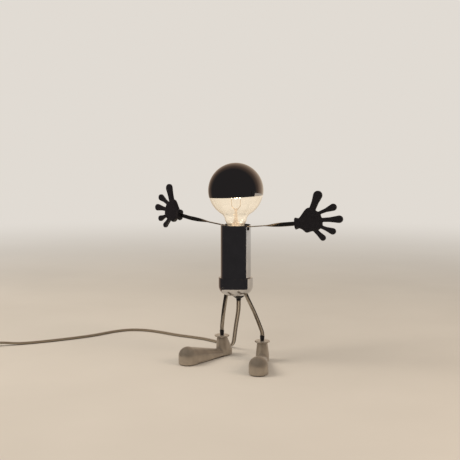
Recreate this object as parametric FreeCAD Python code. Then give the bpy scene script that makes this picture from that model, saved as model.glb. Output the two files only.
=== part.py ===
import FreeCAD, Part
import math
import os
from FreeCAD import Vector

# A desk lamp in the shape of a small standing figure. The head is a half-mirrored globe bulb,
# the trunk a chromed tube on a chromed cup, the arms and legs bendable plated strips, the hands
# flat black mouldings and the shoes satin castings that keep it upright.
# Millimetres, +Z up. The origin is on the table under the bulb's axis, and the figure faces -Y,
# so its own left side is +X.

# Trunk: chromed tube standing in a deep chromed cup
TUBE_RADIUS = 22.0
TUBE_WALL = 0.8
TUBE_TOP_Z = 198.4
CUP_RADIUS = 25.0
CUP_BOTTOM_Z = 95.5
CUP_TOP_Z = 122.0
CUP_CORNER = 14.0
CUP_FLOOR = 1.5
CUP_RIM_CHAMFER = 0.6
LEDGE_Z = 106.5
LEDGE_WIDTH = 1.05
PLATE_THICKNESS = 1.5
SLIP_FIT = 0.05

# Lampholder inside the tube
HOLDER_RADIUS = 18.4
HOLDER_BOTTOM_Z = 150.0
HOLDER_TOP_Z = 196.0
HOLDER_FLOOR = 16.0
HOLDER_SHELL_INNER = 13.35
HOLDER_SHELL_WALL = 0.5
ROD_RADIUS = 2.5
NUT_FLATS = 8.0
NUT_HEIGHT = 4.0
TERMINAL_X = 8.0
TERMINAL_SIZE = (6.0, 6.0, 7.0)

# Globe bulb with an E27 screw cap and a mirrored crown
GLOBE_RADIUS = 40.0
GLOBE_CENTRE_Z = 248.0
MIRROR_SKIN = 0.3
MIRROR_EDGE_DROP = 8.2
MIRROR_EDGE_TILT = 2.9
MIRROR_HIGH_SIDE = 37.0
GLASS_WALL = 1.0
NECK_RADIUS = 16.0
NECK_BLEND = 10.0
NECK_TAPER_Z = 198.5
THROAT_RADIUS = 11.8
THROAT_BOTTOM_Z = 187.0
THREAD_RADIUS = 13.1
THREAD_DEPTH = 0.8
THREAD_PITCH = 3.62
THREAD_TURNS = 5
THREAD_BOTTOM_Z = 175.5
BULB_SHELL_INNER = 11.9
BULB_TIP_Z = 168.0
CONTACT_GAP = 0.3
FILAMENT_Z = 236.5
FILAMENT_RADIUS = 0.45
STEM_TOP_Z = 222.0

# Arms: flat strips that leave the tube's rim, turn a quarter and end in the hands
ARM_WIDTH = 6.0
ARM_THICKNESS = 1.6
ARM_ROOT_Z = 197.0
SHOULDER_X = 25.5
ARM_RISE = 6.4
ARM_FLAT_LENGTH = 26.0
ARM_END_LENGTH = 3.0
ARM_LENGTH = 61.0
WRIST_SWEEP = 15.0
WRIST_LENGTH = {"left": 14.0, "right": 25.0}
WRIST_IN_HAND = 13.0
TAB_FACE_X = 20.9
TAB_DROP = 9.0
ARM_SCREW_Z = 193.6
ARM_SCREW_HEAD = 2.4
ARM_SCREW_RADIUS = 1.5

# Hands: flat mouldings, given in their own plane (outwards along the arm, upwards)
HAND_THICKNESS = 6.0
PALM_THICKNESS = 8.0
FINGER_EDGE = 1.7
PALM_EDGE = 2.4
CUFF_HALF_HEIGHT = 8.7
CUFF_LENGTH = 8.0
PALM_OUTLINE = [
    (5.0, 6.4), (9.5, 10.5), (13.5, 15.2), (21.0, 20.6), (28.5, 17.2), (35.5, 12.2),
    (38.6, 2.5), (37.8, -7.2), (30.5, -11.6), (22.0, -12.6), (15.5, -13.6), (9.5, -8.6),
    (5.0, -6.4),
]
# Each finger: base point, base radius, tip point, tip radius
FINGERS = {
    "thumb": ((26.0, 17.0), 4.4, (35.8, 36.2), 6.4),
    "index": ((33.0, 11.2), 2.1, (56.0, 18.3), 5.0),
    "middle": ((33.0, 2.4), 2.7, (63.2, 1.4), 5.2),
    "ring": ((33.0, -5.4), 2.1, (52.6, -14.4), 4.5),
    "little": ((26.5, -9.4), 2.8, (38.0, -22.4), 4.1),
}
# A finger stays slim up to its neck, this share of the way, then swells to its tip
FINGER_NECK_SHARE = 0.55
FINGER_NECK_SWELL = 0.22

# Legs: the same kind of strip, a little wider and thicker
LEG_WIDTH = 6.8
LEG_THICKNESS = 2.0
HIP_Z = 91.0
ANKLE_BEND_Z = 43.0
LEG_BOW = 1.4
LEG_IN_TUBE = 31.0
SLOT_CLEARANCE = 0.2
HIP_PLACES = {"left": (20.3, 2.5), "right": (-20.0, 2.5)}
ANKLE_PLACES = {"left": (39.7, 11.0), "right": (-30.3, 6.2)}
LEG_SCREW_Z = 115.0
LEG_SCREW_RADIUS = 1.5

# Gap left between the two halves of each bend in a strip
BEND_GAP = 0.3

# Shoes, each given from the ankle's upright axis, toes towards -Y before they are turned out
TOE_TURN = {"left": 30.8, "right": -5.3}
TOE_REACH = 72.0
TOE_RADIUS = 13.5
TOE_SIDE_HEIGHT = 12.0
HEEL_RADIUS = 9.5
HEEL_BACK = 8.5
HEEL_SIDE_HEIGHT = 3.0
INSTEP_HALF_WIDTH = 8.0
INSTEP_SIDE_HEIGHT = 1.5
ANKLE_FRONT = 1.0
ANKLE_COLUMN_Z = 9.0
ANKLE_TOP_RADIUS = 7.4
ANKLE_TOP_Z = 29.0
COLLAR_RADIUS = 11.0
COLLAR_THICKNESS = 2.0
COLLAR_SPIGOT_RADIUS = 5.0
COLLAR_SPIGOT_DEPTH = 10.0
PEG_RADIUS = 2.3
PEG_BOTTOM_Z = 20.5
PEG_TOP_Z = 34.5
FERRULE_BOTTOM_RADIUS = 2.8
FERRULE_TOP_RADIUS = 3.3
TONGUE_WIDTH = 4.2
FERRULE_TOP_Z = 38.5
PAD_THICKNESS = 0.8
PAD_INSET = 2.6

# Mains lead: flat twin flex, here as a round tube of about the same section
CORD_RADIUS = 2.3
WIRE_RADIUS = 1.1
WIRE_SPACING = 3.2
WIRE_SPREAD_DROP = 26.0
WIRE_SPREAD_HEIGHT = 12.0
WIRE_IN_TERMINAL = 4.5
GLAND_Y = 7.0
GLAND_TOP_RADIUS = 8.4
GLAND_RIM_HEIGHT = 3.0
GLAND_BOTTOM_RADIUS = 4.2
GLAND_LENGTH = 9.4
GLAND_NOSE_LENGTH = 2.9
GLAND_NOSE_RADIUS = 3.5
GLAND_NECK_RADIUS = 4.3
GLAND_SLEEVE_GAP = 0.3
GLAND_SLEEVE_WALL = 0.5
CORD_LIE_Z = 2.5

# Put-away end of the lead: where the switch starts, the way it points, and the runs between
STOW_PLACE = (-352.0, -165.0)
STOW_HEADING = 234.0
SWITCH_TO_COIL = 42.0
COIL_TO_PLUG = 46.0
PLUG_TURN = -32.0

# Route of the lead from the gland to the switch, down behind the legs and along the table
CORD_ROUTE = [
    (0.0, 7.0, 75.5), (-4.5, 11.5, 66.0), (-13.0, 20.0, 53.0), (-23.0, 30.5, 38.5),
    (-32.0, 40.0, 23.0), (-39.5, 47.5, 9.5), (-51.0, 55.0, 2.5), (-68.0, 62.0, 2.5),
    (-90.0, 67.0, 2.5), (-115.0, 70.5, 2.5), (-143.0, 68.0, 2.5), (-172.0, 64.5, 2.5),
    (-203.0, 66.0, 2.5), (-235.0, 63.0, 2.5), (-261.0, 48.0, 2.5), (-272.0, 19.0, 2.5),
    (-275.0, -13.0, 2.5), (-284.0, -44.0, 2.5), (-296.0, -73.0, 2.5), (-309.0, -102.0, 2.5),
    (-327.0, -133.0, 2.5), (-342.6, -152.06, 5.0),
]

# Put-away coil of the lead, in two layers
COIL_OUTER_RADIUS = 44.0
COIL_STEP = 6.9
COIL_LAYER = 5.2
COIL_TURNS = 4.5

# In-line rocker switch and two-pin plug on the lead
SWITCH_LENGTH = 58.0
SWITCH_WIDTH = 24.0
SWITCH_END_WIDTH = 12.0
SWITCH_HEIGHT = 16.0
SWITCH_SPLIT_Z = 7.0
SWITCH_WALL = 1.6
SWITCH_CORD_Z = 5.0
ROCKER_LENGTH = 14.0
ROCKER_WIDTH = 8.0
ROCKER_TILT = 8.0
ROCKER_PIVOT_Z = 12.5
ROCKER_GAP = 0.4
ROCKER_PIN_GAP = 0.1
PLUG_LENGTH = 36.0
PLUG_WIDTH = 35.3
PLUG_TAIL_WIDTH = 12.0
PLUG_THICKNESS = 13.6
PLUG_PIN_RADIUS = 2.0
PLUG_PIN_LENGTH = 19.0
PLUG_PIN_SPACING = 18.6
PLUG_SLEEVE_LENGTH = 10.0

UP = Vector(0, 0, 1)
SIDES = {"left": 1, "right": -1}
shapes = {}


def direction(azimuth, rise=0.0):
    """Unit vector at an angle from +X in plan and an angle above the table."""
    a = math.radians(azimuth)
    r = math.radians(rise)
    return Vector(math.cos(a) * math.cos(r), math.sin(a) * math.cos(r), math.sin(r))


def unit(v):
    """The vector at length one."""
    return Vector(v).normalize()


def put(name, shape):
    """Keep one named piece for export."""
    shapes[name] = shape


def tube_between(start, end, radius):
    """Round bar from one point to another."""
    along = end - start
    return Part.makeCylinder(radius, along.Length, start, along)


def revolved(points, axis_point=Vector(0, 0, 0)):
    """Solid turned about an upright axis from (radius, height) points."""
    corners = [axis_point + Vector(r, 0, z) for r, z in points]
    outline = Part.makePolygon(corners + [corners[0]])
    return Part.Face(outline).revolve(axis_point, UP, 360)


def turned(edges, axis_point=Vector(0, 0, 0)):
    """Solid turned about an upright axis from a closed set of edges."""
    wire = Part.Wire(Part.__sortEdges__(edges))
    return Part.Face(wire).revolve(axis_point, UP, 360)


def line(a, b):
    """Straight edge."""
    return Part.LineSegment(Vector(a), Vector(b)).toShape()


def arc(a, middle, b):
    """Circular edge through three points."""
    return Part.Arc(Vector(a), Vector(middle), Vector(b)).toShape()


def hex_nut(centre_bottom, flats, height, bore):
    """Hexagon nut with its flats across Y."""
    corner = flats / math.sqrt(3)
    points = [centre_bottom + direction(60 * k) * corner for k in range(7)]
    nut = Part.Face(Part.makePolygon(points)).extrude(UP * height)
    return nut.cut(Part.makeCylinder(bore, height, centre_bottom, UP))


def strip_section(centre, across, normal, width, thickness):
    """Cross-section of a flat strip with round edges."""
    r = thickness / 2
    half = width / 2 - r
    across = unit(across)
    normal = unit(normal)
    edges = [line(centre - across * half + normal * r, centre + across * half + normal * r)]
    for side in (1, -1):
        middle = centre + across * half * side
        steps = [math.radians(a) for a in (90, 67.5, 45, 22.5, 0, -22.5, -45, -67.5, -90)]
        p = [middle + across * side * r * math.cos(a) + normal * r * math.sin(a) for a in steps]
        first = arc(p[0], p[2], p[4])
        second = arc(p[4], p[6], p[8])
        if side == 1:
            edges += [first, second]
            edges.append(line(p[8], centre - across * half - normal * r))
        else:
            edges += [second, first]
    return Part.Wire(Part.__sortEdges__(edges))


def straight_strip(start, end, across, width, thickness):
    """Flat strip between two points."""
    along = end - start
    normal = along.cross(across)
    section = strip_section(start, across, normal, width, thickness)
    return Part.Face(section).extrude(along)


def round_end(centre, across, width, thickness):
    """Full-round end of a strip, its axis across the strip."""
    across = unit(across)
    r = thickness / 2
    half = width / 2 - r
    end = tube_between(centre - across * half, centre + across * half, r)
    for side in (1, -1):
        end = end.fuse(Part.makeSphere(r, centre + across * half * side))
    return end


def bend_cutter(centre, across, width, thickness):
    """Round space that a strip leaves about the end it bends on."""
    across = unit(across)
    return tube_between(
        centre - across * width, centre + across * width, thickness / 2 + BEND_GAP
    )


def rounded_path(points, straight_share=0.45):
    """Straight runs joined by tangent arcs, each as large as its two runs allow."""
    edges = []
    radii = []
    last = points[0]
    for before, here, after in zip(points, points[1:], points[2:]):
        back = before - here
        on = after - here
        turn = math.pi - back.getAngle(on)
        reach = straight_share * min(back.Length, on.Length)
        start = here + unit(back) * reach
        end = here + unit(on) * reach
        radius = reach / math.tan(turn / 2)
        inward = unit(unit(back) + unit(on))
        middle = here + inward * (radius / math.cos(turn / 2) - radius)
        edges.append(line(last, start))
        edges.append(arc(start, middle, end))
        radii.append(radius)
        last = end
    edges.append(line(last, points[-1]))
    return Part.Wire(edges), radii


def round_tube(wire, start, along, radius):
    """Round tube along a path."""
    profile = Part.Wire(Part.Circle(start, along, radius).toShape())
    return wire.makePipeShell([profile], True, False)


def cord_tube(name, points):
    """Free stretch of the lead, with its radii and volume printed."""
    wire, radii = rounded_path(points)
    tube = round_tube(wire, points[0], points[1] - points[0], CORD_RADIUS)
    expected = math.pi * CORD_RADIUS ** 2 * wire.Length
    print(name, "length", round(wire.Length, 1), "radii", [round(r) for r in radii],
          "volume share", round(tube.Volume / expected, 4))
    put(name, tube)
    return wire.Length


def biarc(start, start_way, end, end_way):
    """Two arcs in space that leave and arrive along the given directions."""
    chord = end - start
    spread = 2 * (start_way.dot(end_way) - 1)
    both = chord.dot(start_way + end_way)
    reach = (both - math.sqrt(both ** 2 - spread * chord.dot(chord))) / spread
    joint = (start + start_way * reach + end - end_way * reach) * 0.5
    edges = []
    for a, way, b, corner in (
        (start, start_way, joint, start + start_way * reach),
        (joint, end - end_way * reach - joint, end, end - end_way * reach),
    ):
        half = (b - a) * 0.5
        rise = corner - (a + half)
        sagitta = half.Length * math.tan(half.getAngle(way) / 2)
        edges.append(arc(a, a + half + unit(rise) * sagitta, b))
    return edges


def placed(shape, origin, x_way, y_way, z_way):
    """Shape moved from its own axes to the given place and axes."""
    matrix = FreeCAD.Matrix(
        x_way.x, y_way.x, z_way.x, origin.x,
        x_way.y, y_way.y, z_way.y, origin.y,
        x_way.z, y_way.z, z_way.z, origin.z,
        0, 0, 0, 1,
    )
    moved = shape.copy()
    moved.Placement = FreeCAD.Placement(matrix)
    return moved


def leg_axes(side):
    """Hip point, direction down the leg and the strip's width direction."""
    hip = Vector(HIP_PLACES[side][0], HIP_PLACES[side][1], HIP_Z)
    ankle = Vector(ANKLE_PLACES[side][0], ANKLE_PLACES[side][1], ANKLE_BEND_Z)
    down = unit(ankle - hip)
    across = unit(Vector(-down.z, 0, down.x))
    return hip, ankle, down, across


# Trunk: tube, cup, inner plate


def make_tube():
    """Chromed tube with a notch at each side of its rim for the arms."""
    seat_z = LEDGE_Z + PLATE_THICKNESS
    height = TUBE_TOP_Z - seat_z
    base = Vector(0, 0, seat_z)
    tube = Part.makeCylinder(TUBE_RADIUS, height, base)
    tube = tube.cut(Part.makeCylinder(TUBE_RADIUS - TUBE_WALL, height, base))
    notch_bottom = ARM_ROOT_Z - ARM_THICKNESS / 2 - SLOT_CLEARANCE
    notch_width = ARM_WIDTH + 2 * SLOT_CLEARANCE
    notch = Part.makeBox(
        4 * TUBE_RADIUS, notch_width, TUBE_TOP_Z - notch_bottom + 1,
        Vector(-2 * TUBE_RADIUS, -notch_width / 2, notch_bottom),
    )
    screw_hole = tube_between(
        Vector(-2 * TUBE_RADIUS, 0, ARM_SCREW_Z), Vector(2 * TUBE_RADIUS, 0, ARM_SCREW_Z),
        ARM_SCREW_RADIUS + SLIP_FIT,
    )
    put("body_tube", tube.cut(notch).cut(screw_hole))


def leg_cutter(side):
    """Space that a leg strip needs where it passes through the cup and the plate."""
    hip, _, down, across = leg_axes(side)
    return straight_strip(
        hip, hip - down * (LEG_IN_TUBE + 4), across,
        LEG_WIDTH + 2 * SLOT_CLEARANCE, LEG_THICKNESS + 2 * SLOT_CLEARANCE,
    )


def make_cup():
    """Chromed cup that the tube stands in, with a rounded bottom."""
    corner_z = CUP_BOTTOM_Z + CUP_CORNER
    flat = CUP_RADIUS - CUP_CORNER
    bore = TUBE_RADIUS + SLIP_FIT
    ledge = bore - LEDGE_WIDTH
    floor_z = CUP_BOTTOM_Z + CUP_FLOOR
    inner_corner = LEDGE_Z - floor_z
    slope = math.sqrt(0.5)
    edges = [
        line((0, 0, CUP_BOTTOM_Z), (flat, 0, CUP_BOTTOM_Z)),
        arc(
            (flat, 0, CUP_BOTTOM_Z),
            (flat + CUP_CORNER * slope, 0, corner_z - CUP_CORNER * slope),
            (CUP_RADIUS, 0, corner_z),
        ),
        line((CUP_RADIUS, 0, corner_z), (CUP_RADIUS, 0, CUP_TOP_Z - CUP_RIM_CHAMFER)),
        line(
            (CUP_RADIUS, 0, CUP_TOP_Z - CUP_RIM_CHAMFER),
            (CUP_RADIUS - CUP_RIM_CHAMFER, 0, CUP_TOP_Z),
        ),
        line((CUP_RADIUS - CUP_RIM_CHAMFER, 0, CUP_TOP_Z), (bore, 0, CUP_TOP_Z)),
        line((bore, 0, CUP_TOP_Z), (bore, 0, LEDGE_Z)),
        line((bore, 0, LEDGE_Z), (ledge, 0, LEDGE_Z)),
        arc(
            (ledge, 0, LEDGE_Z),
            (ledge - inner_corner * (1 - slope), 0, LEDGE_Z - inner_corner * slope),
            (ledge - inner_corner, 0, floor_z),
        ),
        line((ledge - inner_corner, 0, floor_z), (0, 0, floor_z)),
        line((0, 0, floor_z), (0, 0, CUP_BOTTOM_Z)),
    ]
    cup = turned(edges)
    cup = cup.cut(
        Part.makeCylinder(
            GLAND_NECK_RADIUS + SLIP_FIT, 3 * CUP_FLOOR, Vector(0, GLAND_Y, CUP_BOTTOM_Z - 1)
        )
    )
    for side in SIDES:
        cup = cup.cut(leg_cutter(side))
    put("base_cup", cup)


def make_plate():
    """Steel plate trapped between the cup's ledge and the tube, with an ear for each leg."""
    base = Vector(0, 0, LEDGE_Z)
    plate = Part.makeCylinder(TUBE_RADIUS, PLATE_THICKNESS, base)
    for side in SIDES:
        hip, _, down, across = leg_axes(side)
        normal = unit(down.cross(across))
        if normal.y < 0:
            normal = normal * -1
        gap = LEG_THICKNESS / 2
        low = hip - down * ((LEDGE_Z - HIP_Z) / -down.z)
        high = hip - down * LEG_IN_TUBE
        offset = normal * (gap + PLATE_THICKNESS / 2)
        ear = straight_strip(low + offset, high + offset, across, LEG_WIDTH, PLATE_THICKNESS)
        below = Part.makeCylinder(
            2 * TUBE_RADIUS, 2 * PLATE_THICKNESS, Vector(0, 0, LEDGE_Z - 2 * PLATE_THICKNESS)
        )
        plate = plate.fuse(ear.cut(below))
    for side in SIDES:
        plate = plate.cut(leg_slot(side))
        plate = plate.cut(leg_screw_shaft(side, LEG_SCREW_RADIUS + SLIP_FIT))
    plate = plate.cut(Part.makeCylinder(ROD_RADIUS + SLIP_FIT, 3 * PLATE_THICKNESS, base - UP))
    wire_hole = WIRE_SPACING / 2 + WIRE_RADIUS + SLOT_CLEARANCE
    hole_centre = Vector(0, GLAND_Y, LEDGE_Z - 1)
    slot = Part.makeBox(
        2 * wire_hole, 2 * WIRE_RADIUS + 2 * SLOT_CLEARANCE, 3 * PLATE_THICKNESS,
        hole_centre - Vector(wire_hole, WIRE_RADIUS + SLOT_CLEARANCE, 0),
    )
    put("leg_plate", plate.cut(slot))


def leg_slot(side):
    """Leg strip's own space in the plate, clear on all sides but the ear's."""
    hip, _, down, across = leg_axes(side)
    return straight_strip(
        hip, hip - down * (LEG_IN_TUBE + 4), across, LEG_WIDTH + 2 * SLOT_CLEARANCE, LEG_THICKNESS
    )


def leg_screw_frame(side):
    """Centre of a leg screw in the strip and its direction towards the ear."""
    hip, _, down, across = leg_axes(side)
    normal = unit(down.cross(across))
    if normal.y < 0:
        normal = normal * -1
    centre = hip - down * ((LEG_SCREW_Z - HIP_Z) / -down.z)
    return centre, normal


def leg_screw_shaft(side, radius):
    """Shaft of a leg screw."""
    centre, normal = leg_screw_frame(side)
    reach = LEG_THICKNESS / 2 + PLATE_THICKNESS + 4
    return tube_between(centre - normal * LEG_THICKNESS / 2, centre + normal * reach, radius)


def make_leg_fixings():
    """Screw and nut that clamp each leg strip to its ear."""
    screws = []
    nuts = []
    for side in SIDES:
        centre, normal = leg_screw_frame(side)
        face = centre - normal * LEG_THICKNESS / 2
        shaft = leg_screw_shaft(side, LEG_SCREW_RADIUS)
        head = tube_between(face - normal * 2, face, 2 * LEG_SCREW_RADIUS)
        screws.append(shaft.fuse(head))
        nut_face = centre + normal * (LEG_THICKNESS / 2 + PLATE_THICKNESS)
        nut = tube_between(nut_face, nut_face + normal * 2.4, 2 * LEG_SCREW_RADIUS)
        nuts.append(nut.cut(leg_screw_shaft(side, LEG_SCREW_RADIUS + SLIP_FIT)))
    put("leg_screws", Part.makeCompound(screws))
    put("leg_nuts", Part.makeCompound(nuts))


# Lampholder and its rod


def make_rod():
    """Threaded rod from the plate up into the lampholder, and its two nuts."""
    below = 6.0
    into_holder = 8.0
    rod = tube_between(
        Vector(0, 0, LEDGE_Z - below), Vector(0, 0, HOLDER_BOTTOM_Z + into_holder), ROD_RADIUS
    )
    put("holder_rod", rod)
    bore = ROD_RADIUS + SLIP_FIT
    lower = hex_nut(Vector(0, 0, LEDGE_Z - NUT_HEIGHT), NUT_FLATS, NUT_HEIGHT, bore)
    upper = hex_nut(Vector(0, 0, LEDGE_Z + PLATE_THICKNESS), NUT_FLATS, NUT_HEIGHT, bore)
    jam = hex_nut(Vector(0, 0, HOLDER_BOTTOM_Z - NUT_HEIGHT), NUT_FLATS, NUT_HEIGHT, bore)
    put("rod_nuts", Part.makeCompound([lower, upper, jam]))


def make_holder():
    """Moulded E27 lampholder with its screw sleeve, centre contact and terminals."""
    cavity = HOLDER_SHELL_INNER + HOLDER_SHELL_WALL
    cavity_z = HOLDER_BOTTOM_Z + HOLDER_FLOOR
    chamfer = 1.5
    body = revolved([
        (0, HOLDER_BOTTOM_Z), (HOLDER_RADIUS - chamfer, HOLDER_BOTTOM_Z),
        (HOLDER_RADIUS, HOLDER_BOTTOM_Z + chamfer), (HOLDER_RADIUS, HOLDER_TOP_Z - chamfer),
        (HOLDER_RADIUS - chamfer, HOLDER_TOP_Z), (cavity + 0.6, HOLDER_TOP_Z),
        (cavity, HOLDER_TOP_Z - 0.6), (cavity, cavity_z), (0, cavity_z),
    ])
    rod_hole = Part.makeCylinder(ROD_RADIUS + SLIP_FIT, 8.0, Vector(0, 0, HOLDER_BOTTOM_Z))
    put("holder_body", body.cut(rod_hole))
    sleeve_bottom = cavity_z + 5.0
    sleeve_height = HOLDER_TOP_Z - 0.8 - sleeve_bottom
    sleeve = Part.makeCylinder(cavity, sleeve_height, Vector(0, 0, sleeve_bottom))
    put("holder_sleeve", sleeve.cut(
        Part.makeCylinder(HOLDER_SHELL_INNER, sleeve_height, Vector(0, 0, sleeve_bottom))
    ))
    top = BULB_TIP_Z - CONTACT_GAP
    put("holder_contact", revolved([
        (0, cavity_z), (7, cavity_z), (7, cavity_z + 0.6), (4, cavity_z + 0.6), (3, top), (0, top),
    ]))
    width, depth, height = TERMINAL_SIZE
    blocks = []
    for side in (1, -1):
        corner = Vector(
            side * TERMINAL_X - width / 2, GLAND_Y - depth / 2, HOLDER_BOTTOM_Z - height
        )
        block = Part.makeBox(width, depth, height, corner)
        mouth = Vector(side * TERMINAL_X, GLAND_Y, HOLDER_BOTTOM_Z - height)
        block = block.cut(Part.makeCylinder(WIRE_RADIUS + SLIP_FIT, height - 2, mouth))
        screw_z = HOLDER_BOTTOM_Z - height / 2
        face = Vector(side * TERMINAL_X, GLAND_Y + depth / 2, screw_z)
        screw = tube_between(face, face + Vector(0, 1.5, 0), 1.8)
        blocks.append(block.fuse(screw))
    put("holder_terminals", Part.makeCompound(blocks))


def make_wires():
    """The lead's two insulated wires from the gland up to the terminals."""
    wires = []
    for side in (1, -1):
        near = side * WIRE_SPACING / 2
        far = side * TERMINAL_X
        mouth_z = HOLDER_BOTTOM_Z - TERMINAL_SIZE[2]
        spread_z = HOLDER_BOTTOM_Z - WIRE_SPREAD_DROP
        points = [
            Vector(near, GLAND_Y, CUP_BOTTOM_Z - GLAND_LENGTH),
            Vector(near, GLAND_Y, spread_z),
            Vector(far, GLAND_Y, spread_z + WIRE_SPREAD_HEIGHT),
            Vector(far, GLAND_Y, mouth_z + WIRE_IN_TERMINAL),
        ]
        wire, _ = rounded_path(points)
        wires.append(round_tube(wire, points[0], UP, WIRE_RADIUS))
    put("inner_wires", Part.makeCompound(wires))


def make_gland():
    """Tapered strain relief: slim nose, cone under the cup, and a sleeve up to the plate."""
    axis = Vector(0, GLAND_Y, 0)
    bottom = CUP_BOTTOM_Z - GLAND_LENGTH
    cone_z = bottom + GLAND_NOSE_LENGTH
    floor_z = CUP_BOTTOM_Z + CUP_FLOOR
    snap = 0.6
    gland = revolved([
        (0, bottom), (GLAND_NOSE_RADIUS - 0.4, bottom), (GLAND_NOSE_RADIUS, bottom + 0.6),
        (GLAND_NOSE_RADIUS, cone_z), (GLAND_BOTTOM_RADIUS, cone_z + 0.6),
        (GLAND_TOP_RADIUS, CUP_BOTTOM_Z - GLAND_RIM_HEIGHT), (GLAND_TOP_RADIUS, CUP_BOTTOM_Z),
        (GLAND_NECK_RADIUS, CUP_BOTTOM_Z), (GLAND_NECK_RADIUS, floor_z),
        (GLAND_NECK_RADIUS + snap, floor_z), (GLAND_NECK_RADIUS, floor_z + 2), (0, floor_z + 2),
    ], axis)
    sleeve_top = LEDGE_Z - GLAND_SLEEVE_GAP
    sleeve_thickness = 2 * (WIRE_RADIUS + GLAND_SLEEVE_WALL)
    gland = gland.fuse(straight_strip(
        axis + UP * floor_z, axis + UP * sleeve_top, Vector(1, 0, 0),
        WIRE_SPACING + sleeve_thickness, sleeve_thickness,
    ))
    for side in (1, -1):
        start = Vector(side * WIRE_SPACING / 2, GLAND_Y, bottom)
        bore_length = sleeve_top - bottom + 1
        gland = gland.cut(Part.makeCylinder(WIRE_RADIUS + SLIP_FIT, bore_length, start))
    put("cord_gland", gland)


# Bulb


def glass_profile(inset):
    """Closed outline of the bulb's glass, moved inwards by a wall's thickness."""
    globe = GLOBE_RADIUS - MIRROR_SKIN - inset
    neck = NECK_RADIUS - inset
    blend = NECK_BLEND + inset
    throat = THROAT_RADIUS - inset
    blend_x = neck + blend
    blend_z = GLOBE_CENTRE_Z - math.sqrt((globe + blend) ** 2 - blend_x ** 2)
    touch = Vector(blend_x, 0, blend_z - GLOBE_CENTRE_Z) * (globe / (globe + blend))
    touch = touch + Vector(0, 0, GLOBE_CENTRE_Z)
    way = (unit(touch - Vector(blend_x, 0, blend_z)) + Vector(-1, 0, 0))
    middle = Vector(blend_x, 0, blend_z) + unit(way) * blend
    top = Vector(0, 0, GLOBE_CENTRE_Z + globe)
    side = Vector(globe, 0, GLOBE_CENTRE_Z)
    bottom_z = THROAT_BOTTOM_Z + inset
    return [
        line((0, 0, bottom_z), (throat, 0, bottom_z)),
        line((throat, 0, bottom_z), (throat, 0, NECK_TAPER_Z - 2)),
        line((throat, 0, NECK_TAPER_Z - 2), (neck, 0, blend_z)),
        arc((neck, 0, blend_z), middle, touch),
        arc(touch, side, top),
        line(top, (0, 0, bottom_z)),
    ]


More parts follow.
